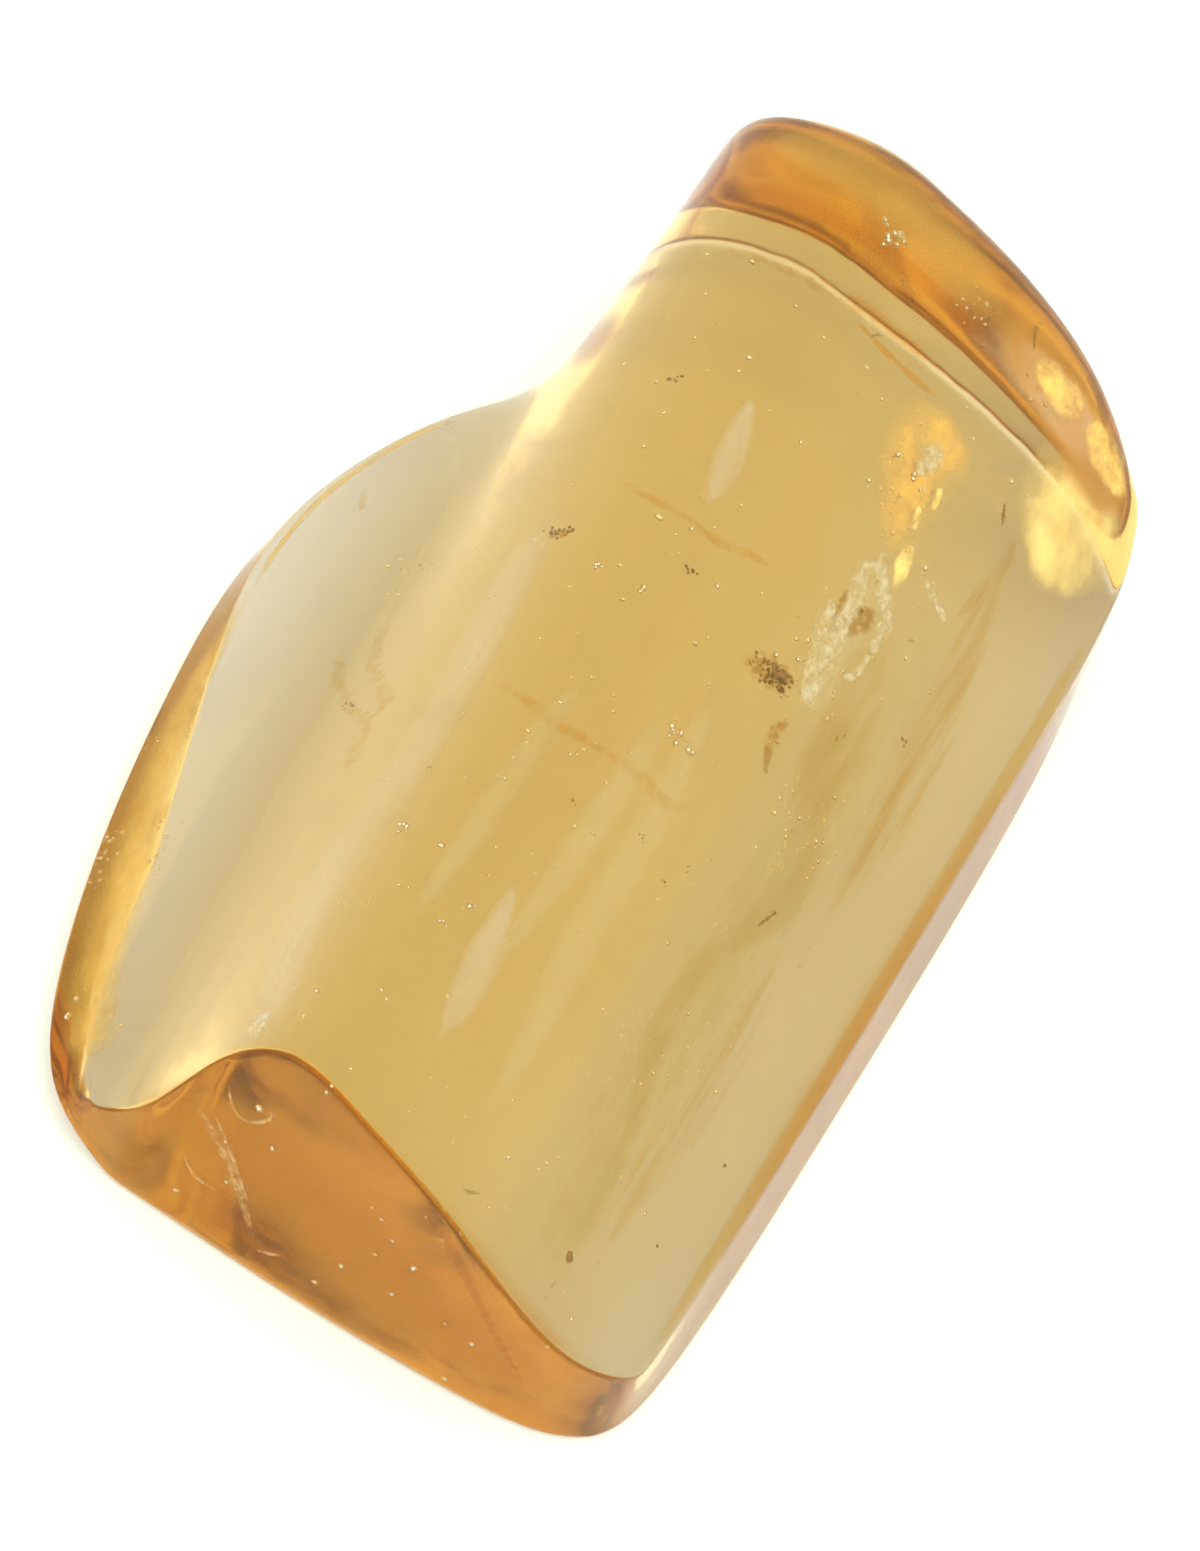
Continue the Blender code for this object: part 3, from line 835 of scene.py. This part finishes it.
LONG_STREAK_LEVEL_PICKS = ((193.7, 1099), (219, 1142), (238.8, 1188.6), (255.4, 1241.6))
SHORT_STREAK_LEVEL_PICKS = ((213.6, 1109), (232, 1155), (250.7, 1208))
LOOP_LEVEL_PICKS = ((228.9, 1075.9), (232, 1102), (245.4, 1119), (268.6, 1119), (273, 1105.7))
ARC_LEVEL_PICKS = ((182.5, 1148.8), (195.7, 1175.3), (222, 1191.9))
LOW_STREAK_LEVEL_PICKS = ((281.9, 1254.8),)
STREAKS_LIE = 0.4
films("end_streaks", cloudy_resin(
    "pale orange", dark=(0.85, 0.5, 0.18, 1.0), light=(1.0, 0.72, 0.36, 1.0),
    grain=(2000.0, 2000.0, 2000.0), ragged=0.6, start=0.1, full=1.8, thickest=0.9,
), [
    sheet(depth=0.3, widths=(0.2, 0.8, 0.7, 0.7, 0.2),
          through=seen_through_end(LONG_STREAK_LEVEL_PICKS, STREAKS_LIE)),
    sheet(depth=0.3, widths=(0.2, 0.6, 0.2), through=seen_through_end(SHORT_STREAK_LEVEL_PICKS, STREAKS_LIE)),
    sheet(depth=0.3, widths=(0.1, 0.3, 0.3, 0.3, 0.1),
          through=seen_through_end(LOOP_LEVEL_PICKS, STREAKS_LIE)),
    sheet(depth=0.3, widths=(0.1, 0.4, 0.1), through=seen_through_end(ARC_LEVEL_PICKS, STREAKS_LIE)),
    sheet(depth=0.3, widths=(0.1, 0.4, 0.1),
          through=[(-1.56, 1.59), (-1.0, 1.9)] + seen_through_end(LOW_STREAK_LEVEL_PICKS, STREAKS_LIE)),
], end_place, clear_below=True)
films("end_seam", tinted_resin(
    "seam orange", tint=(0.94, 0.78, 0.55, 1.0), grain=(900.0, 900.0, 900.0), ragged=0.4, start=0.0, full=0.9,
), [
    sheet(depth=0.4, widths=(0.2, 0.9, 0.8, 0.6, 0.2),
          through=((3.0, 11.2), (4.8, 10.0), (6.3, 8.5), (8.9, 5.5), (11.6, 2.3))),
], end_place)

# ---------------------------------------------------------------------------------------------------------
# Bright inner cracks, and painted light. Resin cracks inside as it dries, and light is thrown back from the
# fine air gap. The cracks are lens-shaped sheets like the flows, ragged at the rim: a feathery one and a few
# golden faces. Sheets of the same kind also paint light: pale streaks as painted highlights along the ridge
# crest, a painted highlight strip along the left shoulder and a painted warm glow in the far right corner.

RIGHT_FLAKE_PICKS = ((129, 343), (134, 325), (150, 300), (166, 278), (171, 258))
LEFT_FLAKE_PICKS = ((129, 340), (124, 310), (133, 258), (132, 230), (132, 200), (139, 175), (136, 157))
FLAKE_HAZE_PICKS = ((116, 245),)
FLAKE_CURL_PICKS = ((169, 243), (170, 228), (166, 215), (157, 207))
WHITE_TRIANGLE_PICKS = ((124, 440),)
films("feather_crack", cloudy_resin(
    "pale crack", dark=(0.8, 0.62, 0.32, 1.0), light=(1.0, 0.93, 0.7, 1.0),
    grain=(2200.0, 1500.0, 2200.0), ragged=1.0, start=0.0, full=1.7, thickest=1.0,
), [
    sheet(depth=0.35, widths=(0.4, 1.0, 1.2, 1.1, 0.7, 0.4),
          through=seen(RIGHT_FLAKE_PICKS, 0.35) + [(7.7, 7.4)]),
    sheet(depth=0.3, widths=(0.4, 1.0, 1.3, 1.5, 1.6, 1.3, 0.5), through=seen(LEFT_FLAKE_PICKS, 0.35)),
    sheet(depth=0.5, widths=(0.4, 1.6, 0.5),
          through=[(5.3, 8.41)] + seen(FLAKE_HAZE_PICKS, 0.5) + [(5.91, 5.59)]),
    sheet(depth=0.4, widths=(0.2, 0.5, 0.5, 0.2), through=seen(FLAKE_CURL_PICKS, 0.4)),
    sheet(depth=0.5, widths=(0.3, 1.8, 0.3),
          through=[(6.08, 18.6)] + seen(WHITE_TRIANGLE_PICKS, 0.8) + [(5.81, 16.2)]),
    sheet(depth=0.45, widths=(0.2, 0.8, 0.6, 0.2),
          through=((8.3, 12.9), (9.0, 12.6), (9.6, 12.5), (10.2, 12.2))),
    sheet(depth=0.3, widths=(0.2, 0.9, 0.8, 0.3),
          through=((-6.0, -24.8), (-6.1, -25.5), (-5.95, -26.1), (-5.8, -26.7))),
], clear_below=True)

# Painted highlights: two soft pale streaks along the ridge crest stand for the reflection of the soft light
# on the polished top. They are not inclusions in the resin.
films("painted_ridge_glints", cloudy_resin(
    "painted glint", dark=(0.95, 0.76, 0.54, 1.0), light=(1.0, 0.86, 0.68, 1.0),
    grain=(900.0, 200.0, 900.0), ragged=0.25, start=0.0, full=2.0, thickest=0.4,
), stacked((0.15, 0.3), [
    ((0.3, 1.5, 2.0, 0.4), ((-1.9, 13.2), (-1.65, 11.2), (-1.4, 9.3), (-1.2, 6.6))),
    ((0.2, 1.3, 2.2, 2.0, 0.3), ((-0.1, -14.0), (0.2, -16.3), (0.4, -18.4), (0.5, -20.4), (0.6, -23.6))),
]))

films("faint_bands", cloudy_resin(
    "faint band", dark=(0.95, 0.8, 0.5, 1.0), light=(1.0, 0.92, 0.7, 1.0),
    grain=(600.0, 90.0, 600.0), ragged=0.3, start=0.0, full=2.0, thickest=0.35,
), [
    sheet(depth=0.2, widths=(0.4, 2.0, 2.4, 1.6, 0.4),
          through=((1.9, -1.4), (1.7, -6.0), (1.5, -10.5), (1.2, -15.0), (0.9, -19.0))),
    sheet(depth=0.2, widths=(0.4, 1.6, 2.0, 0.4),
          through=((-1.9, -3.4), (-2.3, -8.0), (-2.6, -13.5), (-3.0, -20.0))),
    sheet(depth=0.25, widths=(0.4, 2.4, 2.8, 0.6),
          through=((3.2, 1.0), (3.4, -6.0), (3.6, -15.0), (3.9, -25.0))),
    sheet(depth=0.7, widths=(0.8, 3.6, 3.8, 2.8, 0.8),
          through=((7.0, 12.8), (6.9, 10.4), (6.8, 7.6), (6.6, 4.8), (6.4, 2.4))),
], clear_below=True)

# Painted highlight: a soft pale lilac strip along the left shoulder, reaching to the near end, stands for the
# bright strip of light along the steep flank. It is not a haze in the resin.
HIGHLIGHT_END_LEVEL_PICKS = ((276, 1000), (262, 1040))
films("painted_shoulder_highlight", cloudy_resin(
    "painted lilac highlight", dark=(0.95, 0.78, 0.62, 1.0), light=(1.0, 0.9, 0.8, 1.0),
    grain=(500.0, 90.0, 500.0), ragged=0.3, start=0.0, full=2.0, thickest=0.5,
), [
    sheet(depth=0.25, widths=(0.5, 2.2, 2.6, 2.4, 2.6, 2.4, 1.8, 0.8),
          through=[(-6.9, 6.0), (-6.7, 2.4), (-6.5, -4.3), (-6.45, -10.55), (-6.75, -15.5), (-6.64, -20.5)]
          + seen(HIGHLIGHT_END_LEVEL_PICKS, 0.3, level)),
], clear_below=True)

CREAM_FACE_PICKS = ((154, 332),)
films("golden_cracks", cloudy_resin(
    "golden crack", dark=(0.86, 0.52, 0.11, 1.0), light=(1.0, 0.76, 0.3, 1.0),
    grain=(1600.0, 1100.0, 1600.0), ragged=0.7, start=0.0, full=1.7, thickest=1.1, metal=1.0,
), [
    sheet(depth=0.5, widths=(0.4, 1.0, 1.2, 0.3),
          through=[(7.1, 13.7), (7.14, 12.9)] + seen(CREAM_FACE_PICKS, 0.5) + [(7.35, 11.1)]),
    sheet(depth=0.55, widths=(0.2, 0.8, 0.2), through=((6.5, 15.3), (6.7, 14.7), (6.8, 14.1))),
    sheet(depth=0.5, widths=(0.2, 0.7, 0.2), through=((6.9, 16.9), (7.0, 16.3), (7.1, 15.6))),
], clear_below=True)

# Painted glow: a broad bright warm patch in the far right corner stands for a glow of light there. It is not
# a crack.
films("painted_corner_glow", cloudy_resin(
    "painted warm glow", dark=(0.9, 0.56, 0.13, 1.0), light=(1.0, 0.8, 0.34, 1.0),
    grain=(420.0, 320.0, 420.0), ragged=0.38, start=0.0, full=1.55, thickest=1.15, metal=1.0,
), [
    sheet(depth=0.8, widths=(3.4, 6.4, 7.2, 6.0, 1.6),
          through=((12.8, 25.4), (12.7, 23.8), (12.5, 22.0), (12.4, 20.0), (12.4, 17.4))),
], clear_below=True)
films("gold_gleams", cloudy_resin(
    "gold gleam", dark=(0.86, 0.48, 0.09, 1.0), light=(1.0, 0.68, 0.2, 1.0),
    grain=(900.0, 900.0, 900.0), ragged=0.55, start=0.0, full=1.5, thickest=1.05, metal=1.0,
), [
    sheet(depth=0.22, widths=(0.8, 2.6, 2.8, 0.8),
          through=((7.6, 25.3), (8.7, 25.5), (9.8, 25.8), (10.9, 26.1))),
    sheet(depth=0.25, widths=(0.8, 2.8, 3.2, 0.8),
          through=((10.8, 25.9), (12.0, 25.7), (13.0, 25.4), (14.2, 25.0))),
], clear_below=True)
films("amber_patch", cloudy_resin(
    "amber crack", dark=(0.84, 0.43, 0.06, 1.0), light=(0.97, 0.57, 0.12, 1.0),
    grain=(700.0, 500.0, 700.0), ragged=0.4, start=0.0, full=1.8, thickest=0.9, metal=1.0,
), [
    sheet(depth=0.9, widths=(3.4, 5.2, 5.4, 4.8, 3.2, 1.0),
          through=((5.6, 20.6), (5.6, 19.0), (5.5, 17.4), (5.6, 15.6), (5.9, 13.8), (6.4, 11.8))),
], clear_below=True)

# ---------------------------------------------------------------------------------------------------------
# Crumbs of bark and soil that fell on the sticky sap, and short dark splinters. Each is a huddle of tiny
# lumpy grains, dark brown and dull, sealed a little under the polished top.

CRUMB_SEED = 7
GRAIN_FROM, GRAIN_TO = 0.6, 1.5
LUMP_SCALE = 1.1
FULL_TURN = 6.28
HUDDLE_SIZES = (0.5, 1.2)
SPECKLE_DETAIL = 3.0


def grain_scatter(name, facets):
    """A node tree that sets one small lumpy grain on every point, turned and stretched at random."""
    tree = bpy.data.node_groups.new(name, "GeometryNodeTree")
    face = tree.interface
    face.new_socket("Points", in_out="INPUT", socket_type="NodeSocketGeometry")
    face.new_socket("Unevenness", in_out="INPUT", socket_type="NodeSocketFloat")
    face.new_socket("Seed", in_out="INPUT", socket_type="NodeSocketInt")
    face.new_socket("Material", in_out="INPUT", socket_type="NodeSocketMaterial")
    face.new_socket("Grains", in_out="OUTPUT", socket_type="NodeSocketGeometry")
    new, link = tree.nodes.new, tree.links.new
    given, result = new("NodeGroupInput"), new("NodeGroupOutput")
    ball = new("GeometryNodeMeshIcoSphere")
    ball.inputs["Radius"].default_value = 1.0
    ball.inputs["Subdivisions"].default_value = facets
    noise = new("ShaderNodeTexNoise")
    noise.inputs["Scale"].default_value = LUMP_SCALE
    centred = new("ShaderNodeVectorMath")
    centred.operation = "SUBTRACT"
    centred.inputs[1].default_value = (0.5, 0.5, 0.5)
    push = new("ShaderNodeVectorMath")
    push.operation = "SCALE"
    lumpy = new("GeometryNodeSetPosition")
    size = new("GeometryNodeInputNamedAttribute")
    size.data_type = "FLOAT"
    size.inputs["Name"].default_value = "grain_size"
    turn, stretch = new("FunctionNodeRandomValue"), new("FunctionNodeRandomValue")
    turn.data_type = stretch.data_type = "FLOAT_VECTOR"
    turn.inputs["Max"].default_value = (FULL_TURN,) * 3
    stretch.inputs["Min"].default_value = (GRAIN_FROM,) * 3
    stretch.inputs["Max"].default_value = (GRAIN_TO,) * 3
    grown = new("ShaderNodeVectorMath")
    grown.operation = "SCALE"
    spread, realize = new("GeometryNodeInstanceOnPoints"), new("GeometryNodeRealizeInstances")
    smooth, dress = new("GeometryNodeSetShadeSmooth"), new("GeometryNodeSetMaterial")
    link(noise.outputs["Color"], centred.inputs[0])
    link(centred.outputs[0], push.inputs[0])
    link(given.outputs["Unevenness"], push.inputs["Scale"])
    link(ball.outputs["Mesh"], lumpy.inputs["Geometry"])
    link(push.outputs[0], lumpy.inputs["Offset"])
    link(given.outputs["Seed"], turn.inputs["Seed"])
    link(given.outputs["Seed"], stretch.inputs["Seed"])
    link(stretch.outputs[0], grown.inputs[0])
    link(size.outputs["Attribute"], grown.inputs["Scale"])
    link(given.outputs["Points"], spread.inputs["Points"])
    link(lumpy.outputs["Geometry"], spread.inputs["Instance"])
    link(turn.outputs[0], spread.inputs["Rotation"])
    link(grown.outputs[0], spread.inputs["Scale"])
    link(spread.outputs["Instances"], realize.inputs["Geometry"])
    link(realize.outputs["Geometry"], smooth.inputs["Geometry"])
    link(smooth.outputs["Geometry"], dress.inputs["Geometry"])
    link(given.outputs["Material"], dress.inputs["Material"])
    link(dress.outputs["Geometry"], result.inputs["Grains"])
    return tree


def scattered(name, tree, points, settings):
    """One piece made by setting the tree's grain on every point, given as its place and its size in mm."""
    mesh = bpy.data.meshes.new(name)
    mesh.from_pydata([place for place, _ in points], [], [])
    sizes = mesh.attributes.new("grain_size", "FLOAT", "POINT")
    for k, (_, size) in enumerate(points):
        sizes.data[k].value = size * MM
    piece = bpy.data.objects.new(name, mesh)
    bpy.context.scene.collection.objects.link(piece)
    modifier = piece.modifiers.new("grains", "NODES")
    modifier.node_group = tree
    for socket in tree.interface.items_tree:
        if socket.name in settings:
            modifier[socket.identifier] = settings[socket.name]
    solid = bpy.data.meshes.new_from_object(piece.evaluated_get(bpy.context.evaluated_depsgraph_get()))
    piece.modifiers.clear()
    piece.data = solid
    solid.name = name
    solid.materials.clear()
    solid.materials.append(settings["Material"])
    solid.polygons.foreach_set("material_index", [0] * len(solid.polygons))
    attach(piece, "root")
    return piece


def speckled_material(name, dark, light, scale, roughness=0.7, metal=0.0):
    """A dull material whose colour wanders between two tints."""
    material, tree, surface = new_material(name)
    surface.inputs["Roughness"].default_value = roughness
    surface.inputs["Metallic"].default_value = metal
    place = tree.nodes.new("ShaderNodeTexCoord")
    noise = tree.nodes.new("ShaderNodeTexNoise")
    noise.inputs["Scale"].default_value = scale
    noise.inputs["Detail"].default_value = SPECKLE_DETAIL
    colour = tree.nodes.new("ShaderNodeMix")
    colour.data_type = "RGBA"
    colour.inputs["A"].default_value = dark
    colour.inputs["B"].default_value = light
    tree.links.new(place.outputs["Object"], noise.inputs["Vector"])
    tree.links.new(noise.outputs["Fac"], colour.inputs["Factor"])
    tree.links.new(colour.outputs["Result"], surface.inputs["Base Color"])
    return material


def huddle(place, depth, reach, count, size):
    """Grains gathered round one place, thinning outwards."""
    grains = []
    for _ in range(count):
        x = place[0] + chance.gauss(0, reach / 2)
        y = place[1] + chance.gauss(0, reach / 2)
        sunk = depth + chance.uniform(0, reach)
        grains.append((under_top(x, y, sunk), size * chance.uniform(*HUDDLE_SIZES)))
    return grains


CRUMBS_LIE = 0.6
CRUMB_PICKS = {
    "left": (-159, 188), "middle": (-27, 225), "upper left": (-137, 382), "far end": (102, 605),
    "right": (242, 185), "near right": (221, -430), "right slope": (306, -272),
    "right slope low": (290, -375),
    "lower left": (-150, -79), "lower middle": (-12, -35), "lower right": (67, -32),
    "beside it": (110, -59), "beside that": (122, -35), "splinter": (210, 439),
}
crumb_at = dict(zip(CRUMB_PICKS, seen(CRUMB_PICKS.values(), CRUMBS_LIE)))
# Each huddle: its place, depth, reach, count, and the size of a grain.
HUDDLES = (
    ((4.95, 3.3), CRUMBS_LIE, 0.5, 44, 0.12),
    ((4.3, 3.0), CRUMBS_LIE, 0.7, 20, 0.08),
    ((5.3, 3.6), CRUMBS_LIE, 0.35, 12, 0.08),
    ((3.9, 2.8), CRUMBS_LIE, 0.5, 7, 0.05),
    (crumb_at["left"], CRUMBS_LIE, 0.5, 24, 0.07),
    (crumb_at["middle"], CRUMBS_LIE, 0.3, 8, 0.07),
    (crumb_at["upper left"], CRUMBS_LIE, 0.25, 6, 0.08),
    (crumb_at["far end"], CRUMBS_LIE, 0.3, 9, 0.06),
    ((6.89, 27.0), CRUMBS_LIE, 0.3, 8, 0.06),
    (crumb_at["right"], CRUMBS_LIE, 0.2, 5, 0.08),
    (crumb_at["near right"], CRUMBS_LIE, 0.12, 5, 0.13),
    (crumb_at["right slope"], CRUMBS_LIE, 0.1, 3, 0.06),
    (crumb_at["right slope low"], CRUMBS_LIE, 0.1, 3, 0.07),
    (crumb_at["lower left"], CRUMBS_LIE, 0.1, 3, 0.06),
    (crumb_at["lower middle"], CRUMBS_LIE, 0.25, 7, 0.05),
    (crumb_at["lower right"], CRUMBS_LIE, 0.2, 5, 0.05),
    (crumb_at["beside it"], CRUMBS_LIE, 0.2, 5, 0.05),
    (crumb_at["beside that"], CRUMBS_LIE, 0.2, 5, 0.05),
    ((6.4, 9.1), 0.7, 0.35, 12, 0.06),
    ((6.2, 8.0), 0.7, 0.3, 9, 0.05),
    ((8.4, 3.6), CRUMBS_LIE, 0.12, 4, 0.06),
    ((-12.6, 12.0), 0.3, 0.25, 7, 0.05),
    ((-9.9, 2.6), 0.7, 0.9, 16, 0.035),
    ((-9.6, -5.9), 0.7, 0.3, 9, 0.05),
)
# Each splinter: one end, the other end, depth, thickness.
SPLINTERS = (
    (crumb_at["splinter"], (9.98, 18.36), CRUMBS_LIE, 0.08),
    ((9.6, -6.05), (9.94, -4.95), CRUMBS_LIE, 0.08),
    ((5.0, 25.7), (5.4, 23.7), 0.3, 0.06),
    ((6.96, 26.9), (7.39, 26.0), 0.3, 0.06),
    ((0.6, 23.5), (2.6, 22.2), 0.3, 0.04),
)
SPLINTER_GRAINS = 12
SPLINTER_SIZES = (0.7, 1.1)

chance = random.Random(CRUMB_SEED)
crumbs = []
for one in HUDDLES:
    crumbs += huddle(*one)
for start, end, depth, size in SPLINTERS:
    for k in range(SPLINTER_GRAINS):
        at = Vector(start).lerp(Vector(end), k / (SPLINTER_GRAINS - 1))
        crumbs.append((under_top(at.x, at.y, depth), size * chance.uniform(*SPLINTER_SIZES)))
crumb_brown = speckled_material(
    "bark crumbs", dark=(0.2, 0.085, 0.02, 1.0), light=(0.62, 0.3, 0.09, 1.0), scale=2600.0,
)
scattered("bark_crumbs", grain_scatter("lumpy grains", facets=2), crumbs,
          {"Unevenness": 1.2, "Seed": 3, "Material": crumb_brown})

# ---------------------------------------------------------------------------------------------------------
# Gas bubbles and pale dust. Small round bubbles are strewn through the sap, thickest beside the feathery
# crack and in a few bright knots, and they look like pale specks.

BUBBLE_SEED = 11
BUBBLES_LIE = 0.5
KNOT_PICKS = {
    "middle": (46, 75), "left": (-112, 180), "left of middle": (-60, 181),
    "lower left": (-146, -145), "lower middle": (-50, -180), "below it": (-59, -205),
}
knot_at = dict(zip(KNOT_PICKS, seen(KNOT_PICKS.values(), BUBBLES_LIE)))
# Each knot: its place, depth, reach, count, and the size of a bubble.
KNOTS = (
    (knot_at["middle"], BUBBLES_LIE, 0.5, 12, 0.13),
    (knot_at["left"], BUBBLES_LIE, 0.3, 4, 0.09),
    (knot_at["left of middle"], BUBBLES_LIE, 0.2, 3, 0.1),
    (knot_at["lower left"], BUBBLES_LIE, 0.3, 3, 0.1),
    (knot_at["lower middle"], BUBBLES_LIE, 0.3, 3, 0.1),
    (knot_at["below it"], BUBBLES_LIE, 0.2, 3, 0.09),
    ((-10.2, 2.6), 0.7, 1.4, 16, 0.06),
    ((-0.3, 24.9), 0.2, 0.7, 14, 0.13),
    ((6.2, 4.6), BUBBLES_LIE, 2.2, 40, 0.085),
    ((9.4, -0.5), BUBBLES_LIE, 2.4, 40, 0.075),
    ((8.4, -14.5), BUBBLES_LIE, 2.2, 22, 0.075),
    ((-14.6, -15.0), 0.2, 1.6, 26, 0.06),
    ((-12.3, -23.5), 0.2, 1.6, 26, 0.08),
    ((4.0, 25.5), 0.3, 1.4, 14, 0.07),
    ((8.6, 25.4), 0.3, 1.4, 14, 0.07),
    ((5.8, 15.0), 0.6, 1.8, 46, 0.08),
    ((-15.6, -9.0), 0.2, 1.0, 16, 0.05),
)
# Loose bubbles through the body, and a few behind the near end face. The face gets lower towards its right.
LOOSE_COUNT = 230
LOOSE_ACROSS, LOOSE_ALONG, LOOSE_DEPTHS = (-6.5, 11.5), (-27.0, 21.0), (0.3, 4.0)
LOOSE_SMALLEST, LOOSE_LARGEST, LOOSE_USUAL = 0.03, 0.11, 0.04
END_COUNT = 16
END_ACROSS, END_HEIGHTS, END_SIZES = (-6.0, 9.0), (1.5, 10.5), (0.06, 0.12)
END_DEPTH, END_LOWERS_OVER = 0.4, 14
# Each bubble swelled as the sap set, but none so far that it would break the surface.
SWELLING, COVER_SHARE = 1.4, 0.55

chance = random.Random(BUBBLE_SEED)
bubbles = []
for one in KNOTS:
    bubbles += huddle(*one)
for _ in range(LOOSE_COUNT):
    x, y = chance.uniform(*LOOSE_ACROSS), chance.uniform(*LOOSE_ALONG)
    sunk = chance.uniform(*LOOSE_DEPTHS)
    bubbles.append((under_top(x, y, sunk), chance.triangular(LOOSE_SMALLEST, LOOSE_LARGEST, LOOSE_USUAL)))
for _ in range(END_COUNT):
    x, z = chance.uniform(*END_ACROSS), chance.uniform(*END_HEIGHTS)
    lowered = z * (1 - max(0.0, x) / END_LOWERS_OVER)
    bubbles.append((behind_end(x, lowered, END_DEPTH), chance.uniform(*END_SIZES)))
for k, (place, size) in enumerate(bubbles):
    cover = resin_surface.find_nearest(place)[3] / MM
    bubbles[k] = (place, min(size * SWELLING, cover * COVER_SHARE))
bubble_pale = speckled_material(
    "bubble pale", dark=(0.9, 0.78, 0.5, 1.0), light=(1.0, 1.0, 0.95, 1.0), scale=900.0,
    roughness=0.35, metal=1.0,
)
scattered("gas_bubbles", grain_scatter("round bubbles", facets=1), bubbles,
          {"Unevenness": 0.15, "Seed": 5, "Material": bubble_pale})

# ---------------------------------------------------------------------------------------------------------
# The table: a plain pale sheet that runs far past the piece on every side. It isn't part of the object.

TABLE_SIZE = 3.0
TABLE_GAP = 0.00002
TABLE_COLOUR = (0.9, 0.91, 0.98, 1.0)
TABLE_ROUGHNESS, TABLE_SHINE = 0.9, 0.2

table_mesh = bpy.data.meshes.new("pale_table")
half = TABLE_SIZE / 2
table_corners = [(x * half, y * half, -TABLE_GAP) for x, y in ((-1, -1), (1, -1), (1, 1), (-1, 1))]
table_mesh.from_pydata(table_corners, [], [(0, 1, 2, 3)])
table = bpy.data.objects.new("pale_table", table_mesh)
bpy.context.scene.collection.objects.link(table)
table_material, _, table_surface = new_material("pale table")
table_surface.inputs["Base Color"].default_value = TABLE_COLOUR
table_surface.inputs["Roughness"].default_value = TABLE_ROUGHNESS
table_surface.inputs["Specular IOR Level"].default_value = TABLE_SHINE
table_mesh.materials.append(table_material)

# ---------------------------------------------------------------------------------------------------------
# The light: a large, soft tent of slightly yellow light all round, with no lamp and no hard shadow.

LIGHT_COLOUR = (0.99, 1.02, 0.86, 1.0)
LIGHT_STRENGTH = 1.72
# Light crosses the resin many times before it leaves, so it may turn many times.
LIGHT_TURNS = 24

tent = bpy.data.worlds.new("light tent")
tent.use_nodes = True
bpy.context.scene.world = tent
tent.node_tree.nodes["Background"].inputs["Color"].default_value = LIGHT_COLOUR
tent.node_tree.nodes["Background"].inputs["Strength"].default_value = LIGHT_STRENGTH
bpy.context.scene.view_settings.view_transform = "Standard"
bpy.context.scene.cycles.max_bounces = LIGHT_TURNS
bpy.context.scene.cycles.transmission_bounces = LIGHT_TURNS
bpy.context.scene.cycles.glossy_bounces = LIGHT_TURNS
bpy.context.scene.cycles.transparent_max_bounces = LIGHT_TURNS
